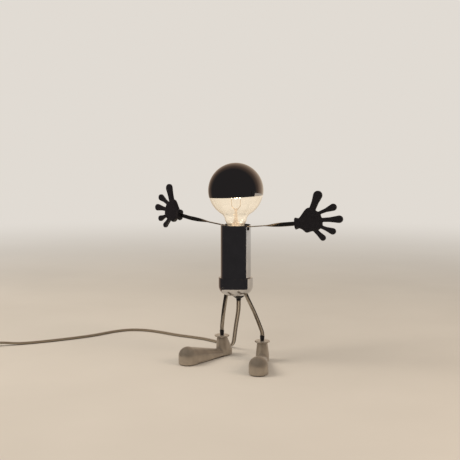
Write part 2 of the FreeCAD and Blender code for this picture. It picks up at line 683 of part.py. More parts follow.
def make_bulb():
    """Glass, mirrored crown, screw cap and the parts inside the globe."""
    glass = turned(glass_profile(0)).cut(turned(glass_profile(GLASS_WALL)))
    put("bulb_glass", glass)

    centre = Vector(0, 0, GLOBE_CENTRE_Z)
    crown = Part.makeSphere(GLOBE_RADIUS, centre)
    crown = crown.cut(Part.makeSphere(GLOBE_RADIUS - MIRROR_SKIN, centre))
    size = 4 * GLOBE_RADIUS
    below = Part.makeBox(size, size, size, Vector(-size / 2, -size / 2, -size - MIRROR_EDGE_DROP))
    below.rotate(Vector(0, 0, 0), direction(MIRROR_HIGH_SIDE).cross(UP), MIRROR_EDGE_TILT)
    below.translate(centre)
    put("bulb_mirror_crown", crown.cut(below))

    ridge = THREAD_RADIUS - THREAD_DEPTH
    mid = THREAD_RADIUS - THREAD_DEPTH / 2
    flare_z = NECK_TAPER_Z - 2
    z = THREAD_BOTTOM_Z
    edges = []
    for _ in range(THREAD_TURNS):
        quarter = THREAD_PITCH / 4
        edges.append(arc((mid, 0, z), (THREAD_RADIUS, 0, z + quarter), (mid, 0, z + 2 * quarter)))
        edges.append(arc(
            (mid, 0, z + 2 * quarter), (ridge, 0, z + 3 * quarter), (mid, 0, z + 4 * quarter)
        ))
        z += THREAD_PITCH
    skirt = THREAD_RADIUS - 0.2
    insulator_radius = 8.0
    insulator_z = BULB_TIP_Z + 5.0
    edges += [
        line((mid, 0, z), (skirt, 0, flare_z)),
        line((skirt, 0, flare_z), (BULB_SHELL_INNER, 0, flare_z)),
        line((BULB_SHELL_INNER, 0, flare_z), (BULB_SHELL_INNER, 0, THREAD_BOTTOM_Z)),
        line((BULB_SHELL_INNER, 0, THREAD_BOTTOM_Z), (insulator_radius, 0, insulator_z + 0.5)),
        line((insulator_radius, 0, insulator_z + 0.5), (insulator_radius, 0, insulator_z)),
        line((insulator_radius, 0, insulator_z), (mid - 0.4, 0, THREAD_BOTTOM_Z - 1)),
        line((mid - 0.4, 0, THREAD_BOTTOM_Z - 1), (mid, 0, THREAD_BOTTOM_Z)),
    ]
    put("bulb_screw_cap", turned(edges))
    button = 4.7
    put("bulb_insulator", revolved([
        (0, BULB_TIP_Z + 1.0), (button, BULB_TIP_Z + 1.0), (insulator_radius, insulator_z),
        (insulator_radius, insulator_z + 0.5), (6, insulator_z + 1.5), (0, insulator_z + 1.5),
    ]))
    put("bulb_contact", revolved([
        (0, BULB_TIP_Z), (button - 1.2, BULB_TIP_Z), (button, BULB_TIP_Z + 0.6),
        (button, BULB_TIP_Z + 1.0), (0, BULB_TIP_Z + 1.0),
    ]))
    seal_z = THROAT_BOTTOM_Z + GLASS_WALL
    put("bulb_stem", revolved([
        (0, seal_z), (9.5, seal_z), (8.6, seal_z + 5), (4.2, seal_z + 14), (2.4, seal_z + 20),
        (2.0, STEM_TOP_Z - 3), (3.0, STEM_TOP_Z - 1.5), (2.2, STEM_TOP_Z), (0, STEM_TOP_Z),
    ]))
    half_span = 8.0
    wave = 2.5
    filament_points = [
        Vector(-half_span, 0, FILAMENT_Z), Vector(-half_span / 2, wave, FILAMENT_Z + wave),
        Vector(0, -wave, FILAMENT_Z - wave / 2), Vector(half_span / 2, wave, FILAMENT_Z + wave),
        Vector(half_span, 0, FILAMENT_Z),
    ]
    wire, _ = rounded_path(filament_points)
    put("bulb_filament", round_tube(
        wire, filament_points[0], filament_points[1] - filament_points[0], FILAMENT_RADIUS
    ))
    lead_radius = 0.4
    leads = []
    for side in (1, -1):
        low = Vector(side * 1.6, 0, STEM_TOP_Z - 3)
        knee = Vector(side * half_span, 0, STEM_TOP_Z + 4)
        top = Vector(side * half_span, 0, FILAMENT_Z)
        leads.append(tube_between(low, knee, lead_radius).fuse(
            tube_between(knee, top, lead_radius)).fuse(Part.makeSphere(lead_radius, knee)))
    put("bulb_leads", Part.makeCompound(leads))


# Arms and hands


def arm_frame(side):
    """Shoulder point, direction along the arm and the upward direction square to it."""
    sign = SIDES[side]
    shoulder = Vector(sign * SHOULDER_X, 0, ARM_ROOT_Z)
    along = Vector(
        sign * math.cos(math.radians(ARM_RISE)), 0, math.sin(math.radians(ARM_RISE))
    )
    upward = unit(UP - along * UP.dot(along))
    return shoulder, along, upward


def make_arm(side):
    """Arm strip: fixed tab in the tube, then the arm up to its second bend, then the wrist."""
    sign = SIDES[side]
    shoulder, along, upward = arm_frame(side)
    depth_way = Vector(0, 1, 0)
    tab_centre_x = TAB_FACE_X - ARM_THICKNESS / 2
    corner = Vector(sign * tab_centre_x, 0, ARM_ROOT_Z)
    foot = corner - UP * TAB_DROP
    tab = straight_strip(corner, shoulder, depth_way, ARM_WIDTH, ARM_THICKNESS)
    tab = tab.fuse(straight_strip(corner, foot, depth_way, ARM_WIDTH, ARM_THICKNESS))
    tab = tab.fuse(round_end(corner, depth_way, ARM_WIDTH, ARM_THICKNESS))
    tab = tab.fuse(round_end(shoulder, depth_way, ARM_WIDTH, ARM_THICKNESS))
    screw_z = Vector(0, 0, ARM_SCREW_Z)
    hole = tube_between(
        screw_z, Vector(sign * 2 * TUBE_RADIUS, 0, ARM_SCREW_Z), ARM_SCREW_RADIUS + SLIP_FIT
    )
    put(side + "_arm_tab", tab.cut(hole))

    twist_length = ARM_LENGTH - ARM_FLAT_LENGTH - ARM_END_LENGTH
    twist_start = shoulder + along * ARM_FLAT_LENGTH
    elbow = shoulder + along * ARM_LENGTH
    flat = straight_strip(shoulder, twist_start, depth_way, ARM_WIDTH, ARM_THICKNESS)
    sections = []
    steps = 6
    for k in range(steps + 1):
        turn = math.radians(90.0 * k / steps)
        across = depth_way * math.cos(turn) + upward * math.sin(turn)
        normal = along.cross(across)
        centre = twist_start + along * (twist_length * k / steps)
        sections.append(strip_section(centre, across, normal, ARM_WIDTH, ARM_THICKNESS))
    twist = Part.makeLoft(sections, True, False)
    twist_end = twist_start + along * twist_length
    last = straight_strip(twist_end, elbow, upward, ARM_WIDTH, ARM_THICKNESS)
    arm = flat.fuse(twist).fuse(last)
    arm = arm.fuse(round_end(elbow, upward, ARM_WIDTH, ARM_THICKNESS))
    put(side + "_arm", arm.cut(bend_cutter(shoulder, depth_way, ARM_WIDTH, ARM_THICKNESS)))

    sweep = math.radians(WRIST_SWEEP)
    out_way = unit(along * math.cos(sweep) + depth_way * math.sin(sweep))
    cuff = elbow + out_way * WRIST_LENGTH[side]
    end = cuff + out_way * WRIST_IN_HAND
    wrist = straight_strip(elbow, end, upward, ARM_WIDTH, ARM_THICKNESS)
    put(side + "_wrist_strip", wrist.cut(bend_cutter(elbow, upward, ARM_WIDTH, ARM_THICKNESS)))
    make_hand(side, cuff, out_way, upward)


def tapered_slab(start, start_radius, end, end_radius, thickness, edge):
    """Flat finger: two circles joined by their tangents, its edges rounded."""
    along = Vector(end[0] - start[0], end[1] - start[1], 0)
    reach = along.Length
    lean = math.asin((end_radius - start_radius) / reach)
    way = unit(along)
    side_way = Vector(-way.y, way.x, 0)
    base = Vector(start[0], start[1], -thickness / 2)
    tip = Vector(end[0], end[1], -thickness / 2)
    points = {}
    for side in (1, -1):
        out = side_way * side * math.cos(lean) - way * math.sin(lean)
        points[side] = (base + out * start_radius, tip + out * end_radius)
    edges = [
        line(points[1][0], points[1][1]),
        arc(points[1][1], tip + way * end_radius, points[-1][1]),
        line(points[-1][1], points[-1][0]),
        arc(points[-1][0], base - way * start_radius, points[1][0]),
    ]
    slab = Part.Face(Part.Wire(edges)).extrude(UP * thickness)
    return slab.makeFillet(edge, flat_edges(slab))


def flat_edges(solid):
    """Edges of a solid's top and bottom faces."""
    box = solid.BoundBox
    found = []
    for e in solid.Edges:
        low = e.BoundBox.ZMin
        high = e.BoundBox.ZMax
        level = high - low < 1e-4
        if level and (abs(low - box.ZMin) < 1e-4 or abs(high - box.ZMax) < 1e-4):
            found.append(e)
    return found


def make_hand(side, cuff, out_way, upward):
    """Moulded hand in its own plane, then set on the wrist strip."""
    base = -PALM_THICKNESS / 2
    outline = Part.BSplineCurve()
    outline.interpolate(
        [Vector(u, v, base) for u, v in PALM_OUTLINE], PeriodicFlag=True
    )
    palm = Part.Face(Part.Wire(outline.toShape())).extrude(UP * PALM_THICKNESS)
    hand = palm.makeFillet(PALM_EDGE, flat_edges(palm))
    for start, start_radius, end, end_radius in FINGERS.values():
        neck = [a + (b - a) * FINGER_NECK_SHARE for a, b in zip(start, end)]
        neck_radius = start_radius + (end_radius - start_radius) * FINGER_NECK_SWELL
        hand = hand.fuse(tapered_slab(
            start, start_radius, neck, neck_radius, HAND_THICKNESS, FINGER_EDGE
        ))
        hand = hand.fuse(tapered_slab(
            neck, neck_radius, end, end_radius, HAND_THICKNESS, FINGER_EDGE
        ))
    mouth = oval_wire(0.0, CUFF_HALF_HEIGHT, PALM_THICKNESS / 2 + 1.5)
    waist = oval_wire(CUFF_LENGTH, CUFF_HALF_HEIGHT - 2.2, PALM_THICKNESS / 2 - 0.4)
    hand = hand.fuse(Part.makeLoft([mouth, waist], True, True))
    pocket = Part.makeBox(
        WRIST_IN_HAND, ARM_WIDTH + 2 * SLIP_FIT, ARM_THICKNESS + 2 * SLIP_FIT,
        Vector(0, -ARM_WIDTH / 2 - SLIP_FIT, -ARM_THICKNESS / 2 - SLIP_FIT),
    )
    hand = hand.cut(pocket)
    put(side + "_hand", placed(hand, cuff, out_way, upward, out_way.cross(upward)))


def oval_wire(u, half_height, half_depth):
    """Slot-shaped ring across the hand at one distance from the cuff's edge."""
    straight = half_height - half_depth
    edges = [
        line((u, -straight, half_depth), (u, straight, half_depth)),
        line((u, straight, -half_depth), (u, -straight, -half_depth)),
    ]
    slope = math.sqrt(0.5)
    for side in (1, -1):
        mid = side * straight
        tip = Vector(u, mid + side * half_depth, 0)
        for face in (1, -1):
            edges.append(arc(
                (u, mid, face * half_depth),
                (u, mid + side * half_depth * slope, face * half_depth * slope), tip,
            ))
    return Part.Wire(Part.__sortEdges__(edges))


# Legs and shoes


def make_leg(side):
    """Leg strip: part fixed in the cup, the leg itself, and the short end above the shoe."""
    hip, ankle, down, across = leg_axes(side)
    top = hip - down * LEG_IN_TUBE
    root = straight_strip(top, hip, across, LEG_WIDTH, LEG_THICKNESS)
    root = root.fuse(round_end(hip, across, LEG_WIDTH, LEG_THICKNESS))
    put(side + "_leg_root", root.cut(leg_screw_shaft(side, LEG_SCREW_RADIUS + SLIP_FIT)))

    sideways = unit(Vector(down.x, down.y, 0))
    outward = unit(sideways - down * sideways.dot(down))
    middle = (hip + ankle) * 0.5 + outward * LEG_BOW
    wire, _ = rounded_path([hip, middle, ankle])
    first = unit(middle - hip)
    leg_across = unit(across - first * across.dot(first))
    section = strip_section(hip, leg_across, first.cross(leg_across), LEG_WIDTH, LEG_THICKNESS)
    leg = wire.makePipeShell([section], True, False)
    below = Part.makeCylinder(
        2 * LEG_WIDTH, LEG_WIDTH, Vector(ankle.x, ankle.y, ankle.z - LEG_WIDTH)
    )
    leg = leg.cut(below)
    leg = leg.fuse(round_end(ankle, Vector(1, 0, 0), LEG_WIDTH, LEG_THICKNESS))
    put(side + "_leg", leg.cut(bend_cutter(hip, across, LEG_WIDTH, LEG_THICKNESS)))

    x_way = Vector(1, 0, 0)
    strip_end = Vector(ankle.x, ankle.y, FERRULE_TOP_Z)
    tongue_end = Vector(ankle.x, ankle.y, PEG_TOP_Z)
    short = straight_strip(ankle, strip_end, x_way, LEG_WIDTH, LEG_THICKNESS)
    short = short.fuse(
        straight_strip(strip_end, tongue_end, x_way, TONGUE_WIDTH, LEG_THICKNESS)
    )
    put(side + "_ankle_strip", short.cut(bend_cutter(ankle, x_way, LEG_WIDTH, LEG_THICKNESS)))


def make_shoe(side):
    """Cast shoe with its turned collar, peg, ferrule and sole pad."""
    ankle_x, ankle_y = ANKLE_PLACES[side]
    axis = Vector(ankle_x, ankle_y, 0)
    collar_z = ANKLE_TOP_Z + COLLAR_THICKNESS

    ferrule_bottom = collar_z + BEND_GAP
    ferrule = revolved([
        (0, ferrule_bottom), (FERRULE_BOTTOM_RADIUS, ferrule_bottom),
        (FERRULE_TOP_RADIUS, FERRULE_TOP_Z - 1.5), (FERRULE_TOP_RADIUS, FERRULE_TOP_Z - 0.5),
        (FERRULE_TOP_RADIUS - 0.5, FERRULE_TOP_Z), (0, FERRULE_TOP_Z),
    ], axis)
    top = axis + Vector(0, 0, FERRULE_TOP_Z + 1)
    pocket = straight_strip(
        top, axis + Vector(0, 0, PEG_TOP_Z), Vector(1, 0, 0), TONGUE_WIDTH + 2 * SLIP_FIT,
        LEG_THICKNESS + 2 * SLIP_FIT,
    )
    ferrule = ferrule.cut(pocket)
    ferrule = ferrule.cut(
        Part.makeCylinder(PEG_RADIUS, PEG_TOP_Z - ferrule_bottom, axis + UP * ferrule_bottom)
    )
    put(side + "_ankle_ferrule", ferrule)
    put(side + "_ankle_peg", tube_between(
        axis + UP * PEG_BOTTOM_Z, axis + UP * PEG_TOP_Z, PEG_RADIUS
    ))

    bore = PEG_RADIUS + SLIP_FIT
    spigot_z = ANKLE_TOP_Z - COLLAR_SPIGOT_DEPTH
    bevel = 0.5
    collar = revolved([
        (bore, spigot_z), (COLLAR_SPIGOT_RADIUS, spigot_z), (COLLAR_SPIGOT_RADIUS, ANKLE_TOP_Z),
        (COLLAR_RADIUS - bevel, ANKLE_TOP_Z), (COLLAR_RADIUS, ANKLE_TOP_Z + bevel),
        (COLLAR_RADIUS, collar_z - bevel), (COLLAR_RADIUS - bevel, collar_z), (bore, collar_z),
    ], axis)
    put(side + "_shoe_collar", collar)

    shoe = shoe_body(PAD_THICKNESS)
    hole = Part.makeCylinder(COLLAR_SPIGOT_RADIUS, ANKLE_TOP_Z, Vector(0, 0, spigot_z))
    shoe = shoe.cut(hole)
    pad_outline = sole_outline(PAD_INSET)
    pad = Part.Face(pad_outline).extrude(UP * PAD_THICKNESS)
    for name, solid in (("_shoe", shoe), ("_sole_pad", pad)):
        solid.rotate(Vector(0, 0, 0), UP, TOE_TURN[side])
        solid.translate(axis)
        put(side + name, solid)


def sole_outline(inset):
    """Plan of the shoe at the table, from a small heel to a broad toe."""
    heel = HEEL_RADIUS - inset
    toe = TOE_RADIUS - inset
    front = -TOE_REACH
    edges = [
        line((heel, HEEL_BACK, 0), (toe, front, 0)),
        arc((toe, front, 0), (0, front - toe, 0), (-toe, front, 0)),
        line((-toe, front, 0), (-heel, HEEL_BACK, 0)),
        arc((-heel, HEEL_BACK, 0), (0, HEEL_BACK + heel, 0), (heel, HEEL_BACK, 0)),
    ]
    return Part.Wire(edges)


def dome_section(y, half_width, side_height, base):
    """Arched section across the shoe: flat sole, upright sides, half-round top."""
    slope = math.sqrt(0.5)
    top = (0, y, side_height + half_width)
    left = (-half_width, y, side_height)
    right = (half_width, y, side_height)
    edges = [
        line((-half_width, y, base), (half_width, y, base)),
        line((half_width, y, base), right),
        arc(right, (half_width * slope, y, side_height + half_width * slope), top),
        arc(top, (-half_width * slope, y, side_height + half_width * slope), left),
        line(left, (-half_width, y, base)),
    ]
    return Part.Wire(edges)


def bullet(y, radius, side_height, base):
    """Upright round end with a domed top."""
    post = Part.makeCylinder(radius, side_height - base, Vector(0, y, base))
    dome = Part.makeSphere(radius, Vector(0, y, side_height))
    above = Part.makeCylinder(radius, 2 * radius, Vector(0, y, side_height))
    return post.fuse(dome.common(above))


def column_section(z, radius, front, back):
    """Slot-shaped level section of the ankle."""
    edges = [
        line((radius, front, z), (radius, back, z)),
        arc((radius, back, z), (0, back + radius, z), (-radius, back, z)),
        line((-radius, back, z), (-radius, front, z)),
        arc((-radius, front, z), (0, front - radius, z), (radius, front, z)),
    ]
    return Part.Wire(edges)


def shoe_body(base):
    """Casting: round toe tapering back to a low instep, with the ankle rising over the heel."""
    toe = dome_section(-TOE_REACH, TOE_RADIUS, TOE_SIDE_HEIGHT, base)
    instep = dome_section(0, INSTEP_HALF_WIDTH, INSTEP_SIDE_HEIGHT, base)
    body = Part.makeLoft([instep, toe], True, True)
    body = body.fuse(bullet(-TOE_REACH, TOE_RADIUS, TOE_SIDE_HEIGHT, base))
    body = body.fuse(bullet(HEEL_BACK, HEEL_RADIUS, HEEL_SIDE_HEIGHT, base))
    lower = column_section(ANKLE_COLUMN_Z, HEEL_RADIUS, ANKLE_FRONT, HEEL_BACK)
    foot = Part.Face(column_section(base, HEEL_RADIUS, ANKLE_FRONT, HEEL_BACK))
    body = body.fuse(foot.extrude(UP * (ANKLE_COLUMN_Z - base)))
    narrow = 0.2
    upper = column_section(ANKLE_TOP_Z, ANKLE_TOP_RADIUS, -narrow, narrow)
    return body.fuse(Part.makeLoft([lower, upper], True, True)).removeSplitter()


# Lead, switch and plug


def stow_place(ahead, left, z):
    """Place beside the put-away end, from the switch's start and its heading."""
    start = Vector(STOW_PLACE[0], STOW_PLACE[1], z)
    return start + direction(STOW_HEADING) * ahead + direction(STOW_HEADING + 90) * left


def coil_centre():
    """Middle of the coil on the table."""
    return stow_place(SWITCH_LENGTH + SWITCH_TO_COIL, COIL_OUTER_RADIUS, 0)


def coil_point(turn):
    """Place on the coil after a number of turns from its start."""
    half = COIL_TURNS / 2
    inner = COIL_OUTER_RADIUS - COIL_STEP * (half - 0.25)
    low = CORD_LIE_Z
    high = CORD_LIE_Z + COIL_LAYER
    if turn < half - 0.25:
        radius = COIL_OUTER_RADIUS - COIL_STEP * turn
        z = low
    elif turn > half + 0.25:
        radius = COIL_OUTER_RADIUS - COIL_STEP * (COIL_TURNS - turn)
        z = high
    else:
        share = (turn - half + 0.25) / 0.5
        radius = inner
        z = low + (high - low) * (1 - math.cos(math.pi * share)) / 2
    angle = STOW_HEADING - 90.0 + 360.0 * turn
    return coil_centre() + UP * z + direction(angle) * radius


def coil_way(turn):
    """Direction of the coil at a number of turns."""
    small = 0.001
    return unit(coil_point(turn + small) - coil_point(turn - small))


def make_coil():
    """The put-away part of the lead, one unbroken tube in two layers."""
    quarters = int(round(COIL_TURNS * 4))
    turns = [k / 4.0 for k in range(quarters + 1)]
    tail = 2 * CORD_RADIUS
    start = coil_point(0.0)
    end = coil_point(COIL_TURNS)
    first = start - coil_way(0.0) * tail
    last = end + coil_way(COIL_TURNS) * tail
    edges = [line(first, start)]
    for a, b in zip(turns, turns[1:]):
        edges += biarc(coil_point(a), coil_way(a), coil_point(b), coil_way(b))
    edges.append(line(end, last))
    wire = Part.Wire(edges)
    coil = round_tube(wire, first, coil_way(0.0), CORD_RADIUS)
    expected = math.pi * CORD_RADIUS ** 2 * wire.Length
    samples = [coil_point(k / 48.0) for k in range(int(COIL_TURNS * 48) + 1)]
    gap = min(
        (samples[i] - samples[j]).Length
        for i in range(len(samples)) for j in range(i + 24, len(samples))
    ) - 2 * CORD_RADIUS
    print("coil length", round(wire.Length, 1), "least gap to itself", round(gap, 2),
          "volume share", round(coil.Volume / expected, 4))
    put("cord_coil", coil)
    return first, last, wire.Length


def prism(outline, low, high):
    """Upright solid over a plan outline."""
    points = [Vector(u, v, low) for u, v in outline]
    return Part.Face(Part.makePolygon(points + [points[0]])).extrude(UP * (high - low))


def switch_outline(inset):
    """Plan of the switch's case: broad in the middle, narrow where the lead enters."""
    taper = 11.0
    half = SWITCH_WIDTH / 2 - inset
    end = SWITCH_END_WIDTH / 2 - inset
    far = SWITCH_LENGTH - inset
    return [
        (inset, -end), (inset + taper, -half), (far - taper, -half), (far, -end),
        (far, end), (far - taper, half), (inset + taper, half), (inset, end),
    ]


def make_switch():
    """In-line switch: two half cases, the rocker on its pivot and the case screws."""
    middle = SWITCH_LENGTH / 2
    post_reach = 17.0
    screw = 1.2
    lower = prism(switch_outline(0), 0, SWITCH_SPLIT_Z)
    lower = lower.makeFillet(1.2, [e for e in lower.Edges if e.BoundBox.ZMax < 1e-4])
    lower = lower.cut(prism(switch_outline(SWITCH_WALL), SWITCH_WALL, SWITCH_SPLIT_Z))
    upper = prism(switch_outline(0), SWITCH_SPLIT_Z, SWITCH_HEIGHT)
    top_z = SWITCH_HEIGHT - 1e-4
    upper = upper.makeFillet(2.5, [e for e in upper.Edges if e.BoundBox.ZMin > top_z])
    inner_top = SWITCH_HEIGHT - SWITCH_WALL
    upper = upper.cut(prism(switch_outline(SWITCH_WALL), SWITCH_SPLIT_Z, inner_top))
    screws = []
    for side in (1, -1):
        at = Vector(middle + side * post_reach, 0, 0)
        lower = lower.fuse(Part.makeCylinder(3.0, SWITCH_SPLIT_Z, at))
        upper = upper.fuse(Part.makeCylinder(
            3.0, inner_top - SWITCH_SPLIT_Z, at + UP * SWITCH_SPLIT_Z
        ))
        bore = Part.makeCylinder(screw + SLIP_FIT, inner_top - 1, at)
        recess = Part.makeCylinder(2.0 + SLIP_FIT, 2.4, at)
        lower = lower.cut(bore).cut(recess)
        upper = upper.cut(bore)
        head = Part.makeCylinder(2.0, 1.6, at + UP * 0.8)
        screws.append(head.fuse(Part.makeCylinder(screw, inner_top - 3.2, at + UP * 0.8)))
    sweep = 1.0
    mouth_length = ROCKER_LENGTH + 2 * (ROCKER_GAP + sweep)
    mouth_width = ROCKER_WIDTH + 2 * ROCKER_GAP
    upper = upper.cut(Part.makeBox(
        mouth_length, mouth_width, SWITCH_HEIGHT,
        Vector(middle - mouth_length / 2, -mouth_width / 2, SWITCH_SPLIT_Z),
    ))
    pivot = Vector(middle, 0, ROCKER_PIVOT_Z)
    across = Vector(0, 1, 0)
    lug_depth = 2.0
    for side in (1, -1):
        low_v = mouth_width / 2 if side > 0 else -mouth_width / 2 - lug_depth
        upper = upper.fuse(Part.makeBox(
            5.0, lug_depth, inner_top - ROCKER_PIVOT_Z + 2.5,
            Vector(middle - 2.5, low_v, ROCKER_PIVOT_Z - 2.5),
        ))
    reach = mouth_width / 2 + lug_depth
    pin = tube_between(pivot - across * reach, pivot + across * reach, 1.0)
    upper = upper.cut(tube_between(
        pivot - across * reach, pivot + across * reach, 1.0 + ROCKER_PIN_GAP
    ))
    half = ROCKER_LENGTH / 2
    profile = [
        (middle - half, ROCKER_PIVOT_Z - 2.3), (middle + half, ROCKER_PIVOT_Z - 2.3),
        (middle + half, SWITCH_HEIGHT + 1.6), (middle, SWITCH_HEIGHT + 0.4),
        (middle - half, SWITCH_HEIGHT + 1.6),
    ]
    points = [Vector(u, -ROCKER_WIDTH / 2, z) for u, z in profile]
    rocker = Part.Face(Part.makePolygon(points + [points[0]])).extrude(across * ROCKER_WIDTH)
    rocker = rocker.fuse(pin)
    rocker.rotate(pivot, across, ROCKER_TILT)
    ahead = direction(STOW_HEADING)
    beside = direction(STOW_HEADING + 90)
    for name, solid in (
        ("switch_lower", lower), ("switch_upper", upper),
        ("switch_screws", Part.makeCompound(screws)), ("switch_rocker", rocker),
    ):
        put(name, placed(solid, stow_place(0, 0, 0), ahead, beside, UP))


def make_plug(start, way):
    """Flat two-pin plug with half-sleeved pins, lying beside the coil."""
    half = PLUG_WIDTH / 2
    tail = PLUG_TAIL_WIDTH / 2
    shoulder = 22.0
    outline = [
        (0, -tail), (8, -tail - 1), (shoulder, -half), (PLUG_LENGTH, -half),
        (PLUG_LENGTH, half), (shoulder, half), (8, tail + 1), (0, tail),
    ]
    body = prism(outline, 0, PLUG_THICKNESS)
    body = body.makeFillet(2.5, flat_edges(body))
    pins = []
    sleeves = []
    insert = 12.0
    core = 1.5
    along = Vector(1, 0, 0)
    for side in (1, -1):
        root = Vector(PLUG_LENGTH - insert, side * PLUG_PIN_SPACING / 2, PLUG_THICKNESS / 2)
        face = root + along * insert
        bare = face + along * PLUG_SLEEVE_LENGTH
        tip = face + along * PLUG_PIN_LENGTH
        pin = tube_between(root, bare, core).fuse(tube_between(bare, tip, PLUG_PIN_RADIUS))
        pins.append(pin)
        sleeve = tube_between(face, bare, PLUG_PIN_RADIUS).cut(tube_between(face, bare, core))
        sleeves.append(sleeve)
        body = body.cut(tube_between(root, face + along, core))
    beside = UP.cross(way)
    origin = Vector(start.x, start.y, 0)
    for name, solid in (
        ("plug_body", body), ("plug_pins", Part.makeCompound(pins)),
        ("plug_sleeves", Part.makeCompound(sleeves)),
    ):
        put(name, placed(solid, origin, way, beside, UP))


def make_lead():
    """The lead from the gland to the plug, with the switch and the coil on it."""
    gland_end = Vector(0, GLAND_Y, CUP_BOTTOM_Z - GLAND_LENGTH)
    entry = stow_place(0, 0, SWITCH_CORD_Z)
    route = [gland_end] + [Vector(p) for p in CORD_ROUTE] + [entry]
    length = cord_tube("cord_to_switch", route)
    make_switch()
    length += SWITCH_LENGTH
    first, last, coil_length = make_coil()
    leave = stow_place(SWITCH_LENGTH, 0, SWITCH_CORD_Z)
    ahead = direction(STOW_HEADING)
    run = (first - leave).Length
    length += cord_tube("cord_after_switch", [
        leave, leave + ahead * run * 0.3, first - coil_way(0.0) * run * 0.3, first,
    ])
    length += coil_length
    way = coil_way(COIL_TURNS)
    leaving = math.degrees(math.atan2(way.y, way.x))
    plug_way = direction(leaving + PLUG_TURN)
    first_bend = last + direction(leaving) * COIL_TO_PLUG * 0.3
    second_bend = first_bend + direction(leaving + PLUG_TURN / 2) * COIL_TO_PLUG * 0.4
    plug_entry = second_bend + plug_way * COIL_TO_PLUG * 0.3
    second_bend.z = PLUG_THICKNESS / 2
    plug_entry.z = PLUG_THICKNESS / 2
    length += cord_tube("cord_to_plug", [last, first_bend, second_bend, plug_entry])
    make_plug(plug_entry, plug_way)
    print("whole lead", round(length, 1))


def make_arm_screws():
    """Dark domed screws that hold the arm tabs to the inside of the tube."""
    screws = []
    for sign in SIDES.values():
        out_way = Vector(sign, 0, 0)
        face = out_way * TUBE_RADIUS + UP * ARM_SCREW_Z
        inner_face = TAB_FACE_X - ARM_THICKNESS
        shaft = tube_between(face, Vector(sign * inner_face, 0, ARM_SCREW_Z), ARM_SCREW_RADIUS)
        dome = Part.makeSphere(ARM_SCREW_HEAD + 0.3, face - out_way * 1.0)
        outside = tube_between(face, face + out_way * 2 * ARM_SCREW_HEAD, 2 * ARM_SCREW_HEAD)
        cap = dome.common(outside)
        screws.append(shaft.fuse(cap))
    put("arm_screws", Part.makeCompound(screws))


def main():
    """Build every piece and write one file for each."""
    make_tube()
    make_cup()
    make_plate()
    make_leg_fixings()
    make_rod()
    make_holder()
    make_wires()
    make_gland()
    make_bulb()
    make_arm_screws()
    for side in SIDES:
        make_arm(side)
        make_leg(side)
        make_shoe(side)
    make_lead()
    os.makedirs("parts", exist_ok=True)
    for name, shape in shapes.items():
        shape.exportStep("parts/" + name + ".step")
        print(name, shape.isValid(), len(shape.Solids), round(shape.Volume, 1))


main()
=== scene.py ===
import math

import bpy
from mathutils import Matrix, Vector


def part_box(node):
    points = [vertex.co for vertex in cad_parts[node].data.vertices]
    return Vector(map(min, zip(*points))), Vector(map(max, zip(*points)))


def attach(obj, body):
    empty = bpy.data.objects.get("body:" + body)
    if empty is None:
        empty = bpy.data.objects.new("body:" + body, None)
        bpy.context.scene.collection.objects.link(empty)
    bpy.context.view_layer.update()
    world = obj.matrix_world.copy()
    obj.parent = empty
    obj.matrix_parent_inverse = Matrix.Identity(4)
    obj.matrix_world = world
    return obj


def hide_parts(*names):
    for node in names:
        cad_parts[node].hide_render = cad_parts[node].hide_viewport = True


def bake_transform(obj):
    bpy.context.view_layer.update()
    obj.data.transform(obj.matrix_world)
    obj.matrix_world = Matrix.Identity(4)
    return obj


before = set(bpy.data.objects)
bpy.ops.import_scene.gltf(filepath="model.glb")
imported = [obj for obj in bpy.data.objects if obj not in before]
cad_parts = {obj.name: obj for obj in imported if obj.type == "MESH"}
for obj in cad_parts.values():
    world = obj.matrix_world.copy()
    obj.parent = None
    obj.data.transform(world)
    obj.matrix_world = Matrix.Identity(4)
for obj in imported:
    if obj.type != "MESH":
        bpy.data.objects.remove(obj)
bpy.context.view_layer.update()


# Studio: a pale floor that fades into an even pale sky, one broad soft box on the left and a
# smaller one on the right. A dark tent stands all round, seen only by glossy surfaces, and gives
# the chrome the dark room that it shows, with a pale opening on the right.

def linear(hex_colour):
    """sRGB hex to the linear colour that shaders take."""
    channels = [int(hex_colour[i:i + 2], 16) / 255 for i in (1, 3, 5)]
    low = [c / 12.92 for c in channels]
    high = [((c + 0.055) / 1.055) ** 2.4 for c in channels]
    return [h if c > 0.04045 else l for c, l, h in zip(channels, low, high)] + [1.0]


def add(tree, kind, settings=None, links=None):
    """One node, with its sockets and properties set and its inputs joined."""
    node = tree.nodes.new(kind)
    for key, value in (settings or {}).items():
        if key in node.inputs:
            node.inputs[key].default_value = value
        else:
            setattr(node, key, value)
    for key, source in (links or {}).items():
        tree.links.new(source, node.inputs[key])
    return node


def finish_of(name, **shader):
    """A material with one Principled shader and object coordinates in metres."""
    material = bpy.data.materials.new(name)
    material.use_nodes = True
    tree = material.node_tree
    surface = tree.nodes["Principled BSDF"]
    for key, value in shader.items():
        surface.inputs[key.replace("_", " ")].default_value = value
    place = add(tree, "ShaderNodeTexCoord").outputs["Object"]
    return material, tree, surface, place


MOTTLE_LOW = 0.35
MOTTLE_HIGH = 0.65


def mottled(tree, surface, place, cell, low, high):
    """Base colour in soft patches of two colours, over cells in metres. Gives back the noise."""
    noise = add(tree, "ShaderNodeTexNoise", {"Scale": 1 / cell, "Detail": 4.0}, {"Vector": place})
    ramp = add(tree, "ShaderNodeValToRGB", links={"Fac": noise.outputs["Fac"]})
    ramp.color_ramp.elements[0].position = MOTTLE_LOW
    ramp.color_ramp.elements[0].color = linear(low)
    ramp.color_ramp.elements[1].position = MOTTLE_HIGH
    ramp.color_ramp.elements[1].color = linear(high)
    tree.links.new(ramp.outputs["Color"], surface.inputs["Base Color"])
    return noise


